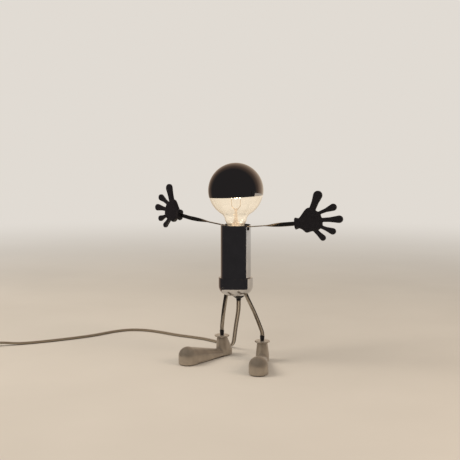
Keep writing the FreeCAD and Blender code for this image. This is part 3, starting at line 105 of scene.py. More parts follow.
SKY_COLOUR = "#E6E0D8"
SKY_SHOWN = 0.95
SKY_LIGHT = 0.62
FLOOR_SIZE = 60.0
FLOOR_DROP = 0.0003
FLOOR_NEAR = 0.45
FLOOR_FAR = 2.4
FLOOR_PATCH = 0.35


def seen_directly(tree):
    """One where a surface is seen by the camera, or in glass or metal, and zero for its light."""
    ray = add(tree, "ShaderNodeLightPath")
    seen = ray.outputs["Is Camera Ray"]
    for kind in ("Is Glossy Ray", "Is Transmission Ray"):
        either = add(tree, "ShaderNodeMath", {"operation": "MAXIMUM"})
        tree.links.new(seen, either.inputs[0])
        tree.links.new(ray.outputs[kind], either.inputs[1])
        seen = either.outputs[0]
    return seen


bpy.context.scene.view_settings.view_transform = "Standard"
floor_mesh = bpy.data.meshes.new("studio_floor")
half = FLOOR_SIZE / 2
floor_mesh.from_pydata(
    [(-half, -half, -FLOOR_DROP), (half, -half, -FLOOR_DROP),
     (half, half, -FLOOR_DROP), (-half, half, -FLOOR_DROP)], [], [(0, 1, 2, 3)],
)
floor = bpy.data.objects.new("studio_floor", floor_mesh)
bpy.context.scene.collection.objects.link(floor)

# Painted plaster: takes light and shadow near the lamp, and fades with distance into the sky.
plaster, tree, surface, place = finish_of("painted_plaster_floor", Roughness=0.9)
surface.inputs["Specular IOR Level"].default_value = 0.0
mottled(tree, surface, place, FLOOR_PATCH, "#D9D3CA", "#DFD9D0")
away = add(tree, "ShaderNodeVectorMath", {"operation": "LENGTH"})
tree.links.new(place, away.inputs[0])
faded = add(tree, "ShaderNodeMapRange",
            {"From Min": FLOOR_NEAR, "From Max": FLOOR_FAR, "interpolation_type": "SMOOTHSTEP"},
            {"Value": away.outputs["Value"]})
fade = add(tree, "ShaderNodeMath", {"operation": "MULTIPLY"})
tree.links.new(faded.outputs["Result"], fade.inputs[0])
tree.links.new(seen_directly(tree), fade.inputs[1])
far_floor = add(tree, "ShaderNodeEmission", {"Color": linear(SKY_COLOUR), "Strength": SKY_SHOWN})
both = add(tree, "ShaderNodeMixShader")
tree.links.new(fade.outputs[0], both.inputs[0])
tree.links.new(surface.outputs["BSDF"], both.inputs[1])
tree.links.new(far_floor.outputs["Emission"], both.inputs[2])
tree.links.new(both.outputs[0], tree.nodes["Material Output"].inputs["Surface"])
floor_mesh.materials.append(plaster)

world = bpy.data.worlds.new("soft_studio")
bpy.context.scene.world = world
world.use_nodes = True
tree = world.node_tree
tree.nodes.clear()
light = add(tree, "ShaderNodeBackground", {"Color": linear(SKY_COLOUR), "Strength": SKY_LIGHT})
shown = add(tree, "ShaderNodeBackground", {"Color": linear(SKY_COLOUR), "Strength": SKY_SHOWN})
either = add(tree, "ShaderNodeMixShader")
tree.links.new(seen_directly(tree), either.inputs[0])
tree.links.new(light.outputs[0], either.inputs[1])
tree.links.new(shown.outputs[0], either.inputs[2])
add(tree, "ShaderNodeOutputWorld", links={"Surface": either.outputs[0]})


AIM = Vector((0, 0, 0.15))


def soft_box(name, place, size, power, colour):
    """A square area light aimed at the lamp's middle, left out of reflections."""
    data = bpy.data.lights.new(name, "AREA")
    data.size = size
    data.energy = power
    data.color = linear(colour)[:3]
    box = bpy.data.objects.new(name, data)
    box.location = place
    box.rotation_euler = (AIM - Vector(place)).to_track_quat("-Z", "Y").to_euler()
    box.visible_glossy = False
    bpy.context.scene.collection.objects.link(box)


soft_box("left_soft_box", place=(-0.9, -0.9, 1.3), size=0.9, power=14.0, colour="#FFF3E4")
soft_box("right_soft_box", place=(1.3, 0.1, 0.8), size=0.6, power=6.0, colour="#FFE9D2")

# Tent: a dome and a ring of floor. Its gap above the floor and its pale opening are placed in
# degrees round the lamp, rightwards from the camera.
CAMERA_AZIMUTH = 37.0
TENT_RADIUS = 1.1
TENT_FLOOR_START = 0.2
TENT_STEPS = 72
TENT_RINGS = 18
GAP_START = 85.0
GAP_END = 180.0
GAP_RINGS = 2
OPENING_AZIMUTH = 165.0
OPENING_HEIGHT = 5.0
OPENING_CLEAR = 8.0
OPENING_DARK = 78.0

tent_verts = []
for k in range(TENT_STEPS):
    angle = math.radians(CAMERA_AZIMUTH - 90 + 360 * k / TENT_STEPS)
    tent_verts.append((TENT_FLOOR_START * math.cos(angle), TENT_FLOOR_START * math.sin(angle), 0))
    for ring in range(TENT_RINGS):
        rise = math.radians(90.0 * ring / TENT_RINGS)
        reach = TENT_RADIUS * math.cos(rise)
        tent_verts.append(
            (reach * math.cos(angle), reach * math.sin(angle), TENT_RADIUS * math.sin(rise))
        )
tent_row = TENT_RINGS + 1
tent_top = len(tent_verts)
tent_verts.append((0, 0, TENT_RADIUS))
tent_faces = []
for k in range(TENT_STEPS):
    here = k * tent_row
    beyond = (k + 1) % TENT_STEPS * tent_row
    in_gap = GAP_START <= 360 * k / TENT_STEPS < GAP_END
    lowest = GAP_RINGS if in_gap else 0
    tent_faces += [
        (here + r, beyond + r, beyond + r + 1, here + r + 1) for r in range(lowest, TENT_RINGS)
    ]
    tent_faces.append((here + TENT_RINGS, beyond + TENT_RINGS, tent_top))
tent_mesh = bpy.data.meshes.new("dark_tent")
tent_mesh.from_pydata(tent_verts, [], tent_faces)
tent = bpy.data.objects.new("dark_tent", tent_mesh)
bpy.context.scene.collection.objects.link(tent)

# Tent cloth: near black, thinning to brown and then pale from OPENING_DARK to OPENING_CLEAR
# degrees off the opening's middle.
cloth, tree, surface, place = finish_of("dark_tent_cloth", Roughness=1.0, Emission_Strength=1.0)
surface.inputs["Base Color"].default_value = linear("#000000")
surface.inputs["Specular IOR Level"].default_value = 0.0
plan_angle = math.radians(CAMERA_AZIMUTH - 90 + OPENING_AZIMUTH)
rise = math.radians(OPENING_HEIGHT)
opening = (math.cos(rise) * math.cos(plan_angle), math.cos(rise) * math.sin(plan_angle),
           math.sin(rise))
outward = add(tree, "ShaderNodeVectorMath", {"operation": "NORMALIZE"})
tree.links.new(place, outward.inputs[0])
facing = add(tree, "ShaderNodeVectorMath", {"operation": "DOT_PRODUCT"})
tree.links.new(outward.outputs["Vector"], facing.inputs[0])
facing.inputs[1].default_value = opening
openness = add(tree, "ShaderNodeMapRange",
               {"From Min": math.cos(math.radians(OPENING_DARK)),
                "From Max": math.cos(math.radians(OPENING_CLEAR))},
               {"Value": facing.outputs["Value"]})
cloth_ramp = add(tree, "ShaderNodeValToRGB", links={"Fac": openness.outputs["Result"]})
cloth_ramp.color_ramp.elements[0].color = linear("#302E2F")
cloth_ramp.color_ramp.elements[1].color = linear("#E0D2C0")
for position, colour in ((0.33, "#5A4C43"), (0.64, "#8F7C6D"), (0.89, "#BDAA97")):
    cloth_ramp.color_ramp.elements.new(position).color = linear(colour)
tree.links.new(cloth_ramp.outputs["Color"], surface.inputs["Emission Color"])
tent_mesh.materials.append(cloth)
tent.visible_camera = False
tent.visible_diffuse = False
tent.visible_shadow = False
tent.visible_transmission = False


# Camera, at the height and distance that the picture was taken from: 1.3 m away, a little above
# the lamp's head, and 37 degrees round towards its left side.

FOCAL_PIXELS = 879.0
PICTURE_WIDTH = 460.0
SENSOR = 36.0
CAMERA_PITCH = 5.78
CAMERA_PLACE = (0.7563, -1.0177, 0.3190)

camera_data = bpy.data.cameras.new("picture_camera")
camera_data.sensor_width = SENSOR
camera_data.lens = SENSOR * FOCAL_PIXELS / PICTURE_WIDTH
camera = bpy.data.objects.new("picture_camera", camera_data)
camera.location = CAMERA_PLACE
camera.rotation_euler = (math.radians(90 - CAMERA_PITCH), 0, math.radians(CAMERA_AZIMUTH))
bpy.context.scene.collection.objects.link(camera)
bpy.context.scene.camera = camera


# Mains lead: flat twin flex in clear PVC, its two wire bundles showing dark through the sides.
# It leaves the gland, drops behind the legs, wanders over the table and is put away in a coil
# of two layers past the edge of the picture, between its in-line switch and its plug.

# One millimetre in the scene's metres.
MM = 0.001
FLEX_WIDTH = 6.4
FLEX_THICKNESS = 3.2
FLEX_LIE = 1.8
HANGING = [
    (0.0, 7.0, 86.1), (0.0, 7.0, 75.5), (-4.5, 11.5, 66.0), (-13.0, 20.0, 53.0),
    (-23.0, 30.5, 38.5), (-32.0, 40.0, 23.0), (-39.5, 47.5, 9.5),
]
LYING = [
    (-51.0, 55.0), (-68.0, 62.0), (-90.0, 67.0), (-115.0, 70.5), (-143.0, 68.0),
    (-172.0, 64.5), (-203.0, 66.0), (-235.0, 63.0), (-261.0, 48.0), (-272.0, 19.0),
    (-275.0, -13.0), (-284.0, -44.0), (-296.0, -73.0), (-309.0, -102.0), (-327.0, -133.0),
]
SWITCH_START = Vector((-352.0, -165.0, 5.0))
SWITCH_LENGTH = 58.0
SWITCH_APPROACH = 16.0
SWITCH_GRIP = 6.0
SWITCH_EXIT = 12.0
SWITCH_LANDING = 28.0
STOW_HEADING = 234.0
SWITCH_TO_COIL = 42.0
COIL_RADIUS = 44.0
COIL_STEP = 6.9
COIL_TURNS = 4.5
COIL_LAYER = 3.5
COIL_POINTS = 20
COIL_LIFT_TURNS = 0.5
COIL_TO_PLUG = 46.0
COIL_TAIL = 4.6
PLUG_RUNS = (0.3, 0.4, 0.3)
PLUG_TURN = -32.0
PLUG_HEIGHT = 6.8


def heading(degrees):
    """Level unit vector at an angle from +X."""
    return Vector((math.cos(math.radians(degrees)), math.sin(math.radians(degrees)), 0))


ahead = heading(STOW_HEADING)
beside = heading(STOW_HEADING + 90)
table_start = Vector((SWITCH_START.x, SWITCH_START.y, 0))
coil_middle = table_start + ahead * (SWITCH_LENGTH + SWITCH_TO_COIL) + beside * COIL_RADIUS

route = [Vector(p) for p in HANGING] + [Vector((x, y, FLEX_LIE)) for x, y in LYING]
route += [SWITCH_START - ahead * SWITCH_APPROACH, SWITCH_START + ahead * SWITCH_GRIP]
route += [SWITCH_START + ahead * (SWITCH_LENGTH - SWITCH_GRIP)]
route += [SWITCH_START + ahead * (SWITCH_LENGTH + SWITCH_EXIT)]
route += [table_start + ahead * (SWITCH_LENGTH + SWITCH_LANDING) + Vector((0, 0, FLEX_LIE))]
layer_end = (COIL_TURNS - COIL_LIFT_TURNS) / 2
for k in range(int(COIL_TURNS * COIL_POINTS) + 1):
    turn = k / COIL_POINTS
    lifting = min(max((turn - layer_end) / COIL_LIFT_TURNS, 0), 1)
    radius = COIL_RADIUS - COIL_STEP * min(turn, COIL_TURNS - turn, layer_end)
    spot = coil_middle + heading(STOW_HEADING - 90 + 360 * turn) * radius
    spot.z = FLEX_LIE + COIL_LAYER * (1 - math.cos(math.pi * lifting)) / 2
    route.append(spot)
drawing_in = math.degrees(math.atan(COIL_STEP / (2 * math.pi * COIL_RADIUS)))
leaving = STOW_HEADING + 360 * COIL_TURNS - drawing_in
first_bend = route[-1] + heading(leaving) * (COIL_TAIL + COIL_TO_PLUG * PLUG_RUNS[0])
second_bend = first_bend + heading(leaving + PLUG_TURN / 2) * COIL_TO_PLUG * PLUG_RUNS[1]
plug_entry = second_bend + heading(leaving + PLUG_TURN) * COIL_TO_PLUG * PLUG_RUNS[2]
second_bend.z = PLUG_HEIGHT
plug_entry.z = PLUG_HEIGHT
route += [first_bend, second_bend, plug_entry]

curve = bpy.data.curves.new("lead_line", "CURVE")
curve.dimensions = "3D"
curve.resolution_u = 8
spline = curve.splines.new("NURBS")
spline.points.add(len(route) - 1)
for point, spot in zip(spline.points, route):
    point.co = (spot.x * MM, spot.y * MM, spot.z * MM, 1.0)
spline.order_u = 3
spline.use_endpoint_u = True
lead_line = bpy.data.objects.new("lead_line", curve)
bpy.context.scene.collection.objects.link(lead_line)
line_mesh = bpy.data.meshes.new_from_object(lead_line)
lead_path = [v.co.copy() for v in line_mesh.vertices]
bpy.data.objects.remove(lead_line)

# Section of the flex: two round lobes side by side, each open towards the other.
LOBE_POINTS = 11
LOBE_STEP = 30.0
LOBE_START = -150.0

lobe = FLEX_THICKNESS / 2 * MM
centre_gap = FLEX_WIDTH / 2 * MM - lobe
right_lobe = []
left_lobe = []
for k in range(LOBE_POINTS):
    angle = math.radians(LOBE_START + LOBE_STEP * k)
    across_lobe = centre_gap + lobe * math.cos(angle)
    right_lobe.append((across_lobe, lobe * math.sin(angle)))
    left_lobe.append((-across_lobe, lobe * math.sin(angle)))
flex_profile = right_lobe + left_lobe[::-1]


def rings_along(path, across, profile):
    """The section's points at every point of a path, its wide way given there."""
    rings = []
    for i, spot in enumerate(path):
        along = (path[min(i + 1, len(path) - 1)] - path[max(i - 1, 0)]).normalized()
        wide = (across[i] - along * across[i].dot(along)).normalized()
        high = along.cross(wide)
        rings.append([spot + wide * u + high * v for u, v in profile])
    return rings


def skinned(name, rings, material):
    """Closed mesh over a row of like sections, its end faces on corners of their own."""
    count = len(rings[0])
    faces = []
    for i in range(len(rings) - 1):
        for j in range(count):
            a = i * count + j
            b = i * count + (j + 1) % count
            faces.append((a, b, b + count, a + count))
    total = len(rings) * count
    faces.append(tuple(reversed(range(total, total + count))))
    faces.append(tuple(range(total + count, total + 2 * count)))
    rings = rings + [rings[0], rings[-1]]
    mesh = bpy.data.meshes.new(name)
    mesh.from_pydata([tuple(v) for ring in rings for v in ring], [], faces)
    mesh.update()
    for polygon in mesh.polygons:
        polygon.use_smooth = len(polygon.vertices) == 4
    mesh.materials.append(material)
    piece = bpy.data.objects.new(name, mesh)
    bpy.context.scene.collection.objects.link(piece)
    return piece


# The flex lies flat. Where less than this share of its run is level, it keeps its last turn.
LEVEL_SHARE = 0.3

flex_across = []
level = Vector((0, 0, 0))
for i, spot in enumerate(lead_path):
    step = lead_path[min(i + 1, len(lead_path) - 1)] - lead_path[max(i - 1, 0)]
    plan = Vector((step.x, step.y, 0))
    if plan.length > LEVEL_SHARE * step.length:
        level = plan.normalized()
    flex_across.append(level.copy())
first_level = next(v for v in flex_across if v.length > 0)
flex_across = [v if v.length > 0 else first_level for v in flex_across]
flex_across = [Vector((-v.y, v.x, 0)) for v in flex_across]

# Clear PVC over tinned wire: pale between the two wire bundles and at the edges, brown over the
# bundles, with the strands' twist showing faintly.
STRAND_CELL = 3.5 * MM
pvc, tree, surface, place = finish_of("clear_pvc_over_tinned_wire", Roughness=0.28, IOR=1.53)
side_way = add(tree, "ShaderNodeAttribute", {"attribute_name": "across_flex"})
ramp = add(tree, "ShaderNodeValToRGB", links={"Fac": side_way.outputs["Fac"]})
ramp.color_ramp.elements[0].color = linear("#DCD3C3")
ramp.color_ramp.elements[1].color = linear("#A89A84")
for position, colour in ((0.2, "#CFC4B2"), (0.4, "#5E4F3E"), (0.8, "#54463A")):
    ramp.color_ramp.elements.new(position).color = linear(colour)
strand = add(tree, "ShaderNodeTexWave", {"Scale": 1 / STRAND_CELL, "Distortion": 1.0},
             {"Vector": place})
tint = add(tree, "ShaderNodeMix", {"data_type": "RGBA", "blend_type": "MULTIPLY", "Factor": 0.12},
           {"A": ramp.outputs["Color"], "B": strand.outputs["Color"]})
tree.links.new(tint.outputs["Result"], surface.inputs["Base Color"])
surface.inputs["Coat Weight"].default_value = 0.4
surface.inputs["Coat Roughness"].default_value = 0.15

lead = skinned("mains_lead", rings_along(lead_path, flex_across, flex_profile), pvc)
width_share = [min(abs(u) / (FLEX_WIDTH / 2 * MM), 1.0) for u, _ in flex_profile]
attribute = lead.data.attributes.new("across_flex", "FLOAT", "POINT")
attribute.data.foreach_set("value", width_share * (len(lead_path) + 2))
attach(lead, "torso")
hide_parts("cord_to_switch", "cord_after_switch", "cord_coil", "cord_to_plug")


# Leg plate, its screws and nuts, and the rod with its three nuts. Bright zinc-plated steel,
# stamped and turned. The plate is trapped in the cup, and everything inside hangs on the rod.

def dress(material, *names):
    """Puts a finish on CAD pieces."""
    for name in names:
        for mesh_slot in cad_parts[name].material_slots:
            mesh_slot.material = material


def roughened(tree, surface, place, cell, low, high):
    """Roughness that drifts between two values over cells of a size in metres."""
    noise = add(tree, "ShaderNodeTexNoise", {"Scale": 1 / cell, "Detail": 3.0}, {"Vector": place})
    span = add(tree, "ShaderNodeMapRange", {"To Min": low, "To Max": high},
               {"Value": noise.outputs["Fac"]})
    tree.links.new(span.outputs["Result"], surface.inputs["Roughness"])


# Zinc plate: a cool grey metal with faint crystals, duller than chrome.
ZINC_CRYSTAL = 1.2 * MM
ZINC_DRIFT = 3 * MM
zinc, tree, surface, place = finish_of("bright_zinc_plated_steel", Metallic=1.0, Roughness=0.32)
mottled(tree, surface, place, ZINC_CRYSTAL, "#A4A7AB", "#BCC0C4")
roughened(tree, surface, place, ZINC_DRIFT, 0.25, 0.42)
dress(
    zinc, "leg_plate", "leg_screws", "leg_nuts", "holder_rod", "rod_nuts", "switch_screws",
    "left_ankle_peg", "right_ankle_peg",
)


# Body tube and base cup. Steel tube and turned cup, polished and chrome plated. The tube stands
# on the plate inside the cup and takes the arms in two notches of its rim.

# Chrome: nearly a mirror, a little uneven from the polishing wheel, with a trace of haze.
CHROME_PATCH = 14 * MM
CHROME_DRIFT = 9 * MM
WHEEL_WAVE = 11 * MM
WHEEL_DEPTH = 0.05 * MM
chrome, tree, surface, place = finish_of("polished_chrome_plate", Metallic=1.0, Roughness=0.1)
mottled(tree, surface, place, CHROME_PATCH, "#C9C8C8", "#D3D2D2")
roughened(tree, surface, place, CHROME_DRIFT, 0.08, 0.13)
waviness = add(tree, "ShaderNodeTexNoise", {"Scale": 1 / WHEEL_WAVE, "Detail": 1.0},
               {"Vector": place})
waved = add(tree, "ShaderNodeBump", {"Strength": 0.06, "Distance": WHEEL_DEPTH},
            {"Height": waviness.outputs["Fac"]})
tree.links.new(waved.outputs["Normal"], surface.inputs["Normal"])
dress(chrome, "body_tube", "base_cup")


# Lampholder. Black thermoset moulding with a nickel-plated brass sleeve, a sprung centre contact
# and two terminals. It is screwed on the top of the rod and fills the top of the tube.

# Thermoset: hard, slightly glossy black with a fine speckle from its filler.
FILLER_GRAIN = 0.8 * MM
THERMOSET_DRIFT = 2 * MM
thermoset, tree, surface, place = finish_of("moulded_black_thermoset", Roughness=0.38, IOR=1.6)
mottled(tree, surface, place, FILLER_GRAIN, "#191817", "#262423")
roughened(tree, surface, place, THERMOSET_DRIFT, 0.3, 0.46)
dress(thermoset, "holder_body")

# Nickelled brass: warm pale metal with tarnish in soft patches.
TARNISH_PATCH = 3 * MM
TARNISH_DRIFT = 4 * MM
brass, tree, surface, place = finish_of("nickel_plated_brass", Metallic=1.0, Roughness=0.25)
mottled(tree, surface, place, TARNISH_PATCH, "#B5A67F", "#CDC3A4")
roughened(tree, surface, place, TARNISH_DRIFT, 0.2, 0.34)
dress(brass, "holder_sleeve", "holder_contact", "holder_terminals", "plug_pins", "bulb_contact")


# Inner wires and the strain relief. The flex is split into its two wires above the plate. The
# relief is a black cone of soft PVC, snapped in the cup's floor with a slim nose round the flex.

# Single wires of the flex: grey-brown strands that show in bands through clear PVC.
CORE_CELL = 2.2 * MM
tinned, tree, surface, place = finish_of("clear_pvc_core_wire", Roughness=0.3, IOR=1.53)
strands = add(tree, "ShaderNodeTexWave", {"Scale": 1 / CORE_CELL, "bands_direction": "Z"},
              {"Vector": place})
core = add(tree, "ShaderNodeValToRGB", links={"Fac": strands.outputs["Color"]})
core.color_ramp.elements[0].color = linear("#7F7563")
core.color_ramp.elements[1].color = linear("#A99C86")
tree.links.new(core.outputs["Color"], surface.inputs["Base Color"])
surface.inputs["Coat Weight"].default_value = 0.4
dress(tinned, "inner_wires")

# Soft black PVC: satin, with the fine grain of an etched mould.
MOULD_GRAIN = 0.5 * MM
ETCH_DEPTH = 0.04 * MM
soft_black, tree, surface, place = finish_of("moulded_soft_black_pvc", Roughness=0.5, IOR=1.5)
grain = mottled(tree, surface, place, MOULD_GRAIN, "#141315", "#201E21")
etched = add(tree, "ShaderNodeBump", {"Strength": 0.25, "Distance": ETCH_DEPTH},
             {"Height": grain.outputs["Fac"]})
tree.links.new(etched.outputs["Normal"], surface.inputs["Normal"])
dress(soft_black, "cord_gland", "left_ankle_ferrule", "right_ankle_ferrule")


# Globe bulb. Blown soda glass 80 mm across, its crown silvered so that the light goes down. Inside
# are the glass stem, two nickel wires and the filament; below is the aluminium screw cap.

# Clear glass, with the faint waves of blowing and a faint painted glow of the filament's warm
# light.
BLOWN_WAVE = 22 * MM
BLOWN_DEPTH = 0.2 * MM
glass, tree, surface, place = finish_of(
    "blown_soda_glass", Roughness=0.0, IOR=1.47, Transmission_Weight=1.0
)
flow = add(tree, "ShaderNodeTexNoise", {"Scale": 1 / BLOWN_WAVE, "Detail": 1.0}, {"Vector": place})
glass_tint = add(tree, "ShaderNodeValToRGB", links={"Fac": flow.outputs["Fac"]})
glass_tint.color_ramp.elements[0].color = linear("#F7F3EA")
glass_tint.color_ramp.elements[1].color = linear("#FFFDF7")
tree.links.new(glass_tint.outputs["Color"], surface.inputs["Base Color"])
blown = add(tree, "ShaderNodeBump", {"Strength": 0.05, "Distance": BLOWN_DEPTH},
            {"Height": flow.outputs["Fac"]})
tree.links.new(blown.outputs["Normal"], surface.inputs["Normal"])
# Painted glow: a faint warm emission stands in for the filament's light on the glass.
surface.inputs["Emission Color"].default_value = linear("#FFE2BE")
surface.inputs["Emission Strength"].default_value = 0.06
dress(glass, "bulb_glass")

# Silvered crown: a clean mirror of the dark tent that thins to a brown line at its edge.
CROWN_RIM = 2.5 * MM
CROWN_DRIFT = 12 * MM
silver, tree, surface, place = finish_of("silvered_crown", Metallic=1.0, Roughness=0.08)
crown_low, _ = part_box("bulb_mirror_crown")
height_way = add(tree, "ShaderNodeSeparateXYZ", links={"Vector": place})
rim_share = add(
    tree, "ShaderNodeMapRange",
    {"From Min": crown_low.z, "From Max": crown_low.z + CROWN_RIM},
    {"Value": height_way.outputs["Z"]},
)
rim_colour = add(tree, "ShaderNodeValToRGB", links={"Fac": rim_share.outputs["Result"]})
rim_colour.color_ramp.elements[0].color = linear("#8C7B68")
rim_colour.color_ramp.elements[1].color = linear("#C4C0BC")
tree.links.new(rim_colour.outputs["Color"], surface.inputs["Base Color"])
roughened(tree, surface, place, CROWN_DRIFT, 0.07, 0.1)
dress(silver, "bulb_mirror_crown")

# Rolled aluminium cap: bright, with faint rolling lines and a shine that drifts.
ROLLING_CELL = 1.5 * MM
CAP_DRIFT = 3 * MM
cap_metal, tree, surface, place = finish_of("rolled_aluminium_cap", Metallic=1.0, Roughness=0.3)
rolling = add(tree, "ShaderNodeTexWave",
              {"Scale": 1 / ROLLING_CELL, "bands_direction": "Z", "Distortion": 2.0},
              {"Vector": place})
rolled = add(tree, "ShaderNodeValToRGB", links={"Fac": rolling.outputs["Color"]})
rolled.color_ramp.elements[0].color = linear("#AEB0B2")
rolled.color_ramp.elements[1].color = linear("#C6C8CA")
tree.links.new(rolled.outputs["Color"], surface.inputs["Base Color"])
roughened(tree, surface, place, CAP_DRIFT, 0.24, 0.4)
dress(cap_metal, "bulb_screw_cap")

# Vitrite: the glossy purple-black glass that parts the cap from its centre contact.
VITRITE_PATCH = 1.5 * MM
vitrite, tree, surface, place = finish_of("black_vitrite_glass", Roughness=0.15, IOR=1.55)
mottled(tree, surface, place, VITRITE_PATCH, "#0F0D12", "#1B1720")
dress(vitrite, "bulb_insulator")

# Lead glass stem: milky where it is pressed, with a faint painted glow standing in for the
# filament's light above it.
STEM_PATCH = 4 * MM
stem_glass, tree, surface, place = finish_of(
    "pressed_lead_glass", Roughness=0.12, IOR=1.56, Transmission_Weight=0.55
)
mottled(tree, surface, place, STEM_PATCH, "#EFE3D6", "#FFF8EE")
# Painted glow: a warm emission stands in for the filament's light falling on the stem.
surface.inputs["Emission Color"].default_value = linear("#FFE6CC")
surface.inputs["Emission Strength"].default_value = 0.14
dress(stem_glass, "bulb_stem")

# Drawn nickel: thin soft-grey wires, with a painted warm glow standing in for the light of the
# filament that they hold.
WIRE_PATCH = 0.6 * MM
nickel_wire, tree, surface, place = finish_of("drawn_nickel_wire", Metallic=1.0, Roughness=0.25)
mottled(tree, surface, place, WIRE_PATCH, "#B7AE9E", "#D0C8B8")
# Painted glow: an orange emission stands in for the filament's light on the wires.
surface.inputs["Emission Color"].default_value = linear("#FFB87A")
surface.inputs["Emission Strength"].default_value = 0.15
dress(nickel_wire, "bulb_leads")

# Filament: tungsten at work, with the coil's pitch as fine bright and dim bands.
FILAMENT_CELL = 1.2 * MM
tungsten, tree, surface, place = finish_of("glowing_tungsten_coil", Roughness=0.6)
coils = add(tree, "ShaderNodeTexWave", {"Scale": 1 / FILAMENT_CELL, "Distortion": 0.5},
            {"Vector": place})
glow = add(tree, "ShaderNodeValToRGB", links={"Fac": coils.outputs["Color"]})
glow.color_ramp.elements[0].color = linear("#FFCF8F")
glow.color_ramp.elements[1].color = linear("#FFF0CF")
tree.links.new(glow.outputs["Color"], surface.inputs["Emission Color"])
surface.inputs["Emission Strength"].default_value = 12.0
dress(tungsten, "bulb_filament")


# Arm strips. Each is one nickel-plated steel strip with crowned faces: a tab screwed inside the
# tube, a bend in the rim's notch, a flat run, a quarter twist, and the wrist set in the hand.

SIDES = {"left": 1, "right": -1}
ARM_WIDTH = 6.0
ARM_THICKNESS = 1.6
ARM_ROOT_Z = 197.0
ARM_RISE = 6.4
ARM_FLAT = 26.0
ARM_END = 3.0
ARM_LENGTH = 61.0
ARM_JOIN = 22.0
TAB_X = 20.1
SHOULDER_X = 25.5
TAB_DROP = 9.0
WRIST_SWEEP = 15.0
WRIST_REACH = {"left": 27.0, "right": 38.0}
ARM_BENDS = [1.6, 1.2, 2.5]
STRIP_STEP = 1.5
BEND_PIECES = 6
SECTION_POINTS = 28
SECTION_POWER = 2.4

# Bright nickel on drawn strip: darker and softer than chrome, with a light streak along the
# middle of its crowned faces and a fine grain.
STRIP_PATCH = 5 * MM
STRIP_DRIFT = 3 * MM
DRAWN_GRAIN = 0.8 * MM
DRAWN_DEPTH = 0.02 * MM
strip_metal, tree, surface, place = finish_of("nickel_plated_strip", Metallic=1.0, Roughness=0.2)
mottled(tree, surface, place, STRIP_PATCH, "#948B80", "#ABA397")
roughened(tree, surface, place, STRIP_DRIFT, 0.15, 0.22)
drawn = add(tree, "ShaderNodeTexNoise", {"Scale": 1 / DRAWN_GRAIN, "Detail": 2.0},
            {"Vector": place})
lined = add(tree, "ShaderNodeBump", {"Strength": 0.12, "Distance": DRAWN_DEPTH},
            {"Height": drawn.outputs["Fac"]})
tree.links.new(lined.outputs["Normal"], surface.inputs["Normal"])


def strip_profile(width, thickness):
    """Drawn section with crowned faces and round edges, anticlockwise."""
    points = []
    for k in range(SECTION_POINTS):
        angle = 2 * math.pi * k / SECTION_POINTS
        wide = math.copysign(abs(math.cos(angle)) ** (2 / SECTION_POWER), math.cos(angle))
        high = math.copysign(abs(math.sin(angle)) ** (2 / SECTION_POWER), math.sin(angle))
        points.append((width / 2 * MM * wide, thickness / 2 * MM * high))
    return points


def bent_path(points, cuts):
    """Points along straight runs of strip, its bends made smooth over the lengths in cuts."""
    path = [points[0]]
    for i in range(1, len(points)):
        start = path[-1]
        way = (points[i] - points[i - 1]).normalized()
        last_corner = i == len(points) - 1
        cut = 0.0 if last_corner else cuts[i - 1]
        stop = points[i] - way * cut
        pieces = max(1, round((stop - start).length / STRIP_STEP))
        path += [start.lerp(stop, k / pieces) for k in range(1, pieces + 1)]
        if not last_corner:
            onward = points[i] + (points[i + 1] - points[i]).normalized() * cut
            bend_pieces = max(BEND_PIECES, round(2 * cut / STRIP_STEP))
            for k in range(1, bend_pieces + 1):
                t = k / bend_pieces
                path.append(stop.lerp(points[i], t).lerp(points[i].lerp(onward, t), t))
    return path


def split_at(path, way, distance):
    """First index at which the path has passed a distance along a direction."""
    return next(i for i, spot in enumerate(path) if spot.dot(way) >= distance)


arm_profile = strip_profile(ARM_WIDTH, ARM_THICKNESS)
for side, sign in SIDES.items():
    rise = math.radians(ARM_RISE)
    along = Vector((sign * math.cos(rise), 0, math.sin(rise)))
    upward = Vector((-sign * math.sin(rise), 0, math.cos(rise)))
    depth_way = Vector((0, 1, 0))
    shoulder = Vector((sign * SHOULDER_X, 0, ARM_ROOT_Z))
    elbow = shoulder + along * ARM_LENGTH
    sweep = math.radians(WRIST_SWEEP)
    out_way = along * math.cos(sweep) + depth_way * math.sin(sweep)
    corner = Vector((sign * TAB_X, 0, ARM_ROOT_Z))
    line = bent_path(
        [corner - Vector((0, 0, TAB_DROP)), corner, shoulder, elbow,
         elbow + out_way * WRIST_REACH[side]],
        ARM_BENDS,
    )
    spread = []
    for spot in line:
        gone = (spot - shoulder).dot(along)
        share = (gone - ARM_FLAT) / (ARM_LENGTH - ARM_FLAT - ARM_END)
        turn = math.radians(90) * min(max(share, 0), 1)
        spread.append(depth_way * math.cos(turn) + upward * math.sin(turn))
    join = split_at(line, along, shoulder.dot(along) + ARM_JOIN)
    rings = rings_along([spot * MM for spot in line], spread, arm_profile)
    arm = skinned(side + "_arm_strip", rings[:join + 1], strip_metal)
    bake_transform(arm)
    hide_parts(side + "_arm_tab", side + "_arm")
    wrist = skinned(side + "_wrist", rings[join:], strip_metal)
    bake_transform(wrist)
    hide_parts(side + "_wrist_strip")

# Blackened screws: oil-dark steel, rubbed brighter in small patches.
BLACKING_PATCH = 0.9 * MM
BLACKING_DRIFT = 1.5 * MM
dark_steel, tree, surface, place = finish_of("blackened_steel", Metallic=1.0, Roughness=0.4)
mottled(tree, surface, place, BLACKING_PATCH, "#2B2724", "#4A443E")
roughened(tree, surface, place, BLACKING_DRIFT, 0.3, 0.5)
dress(dark_steel, "arm_screws")


# Hands. Flat mouldings in tough black PVC with club-ended fingers and a flared cuff, pushed on
# the wrist strips. Their edges are round all over, as the mould leaves them.

HAND_VOXEL = 0.7
HAND_SMOOTHING = 7

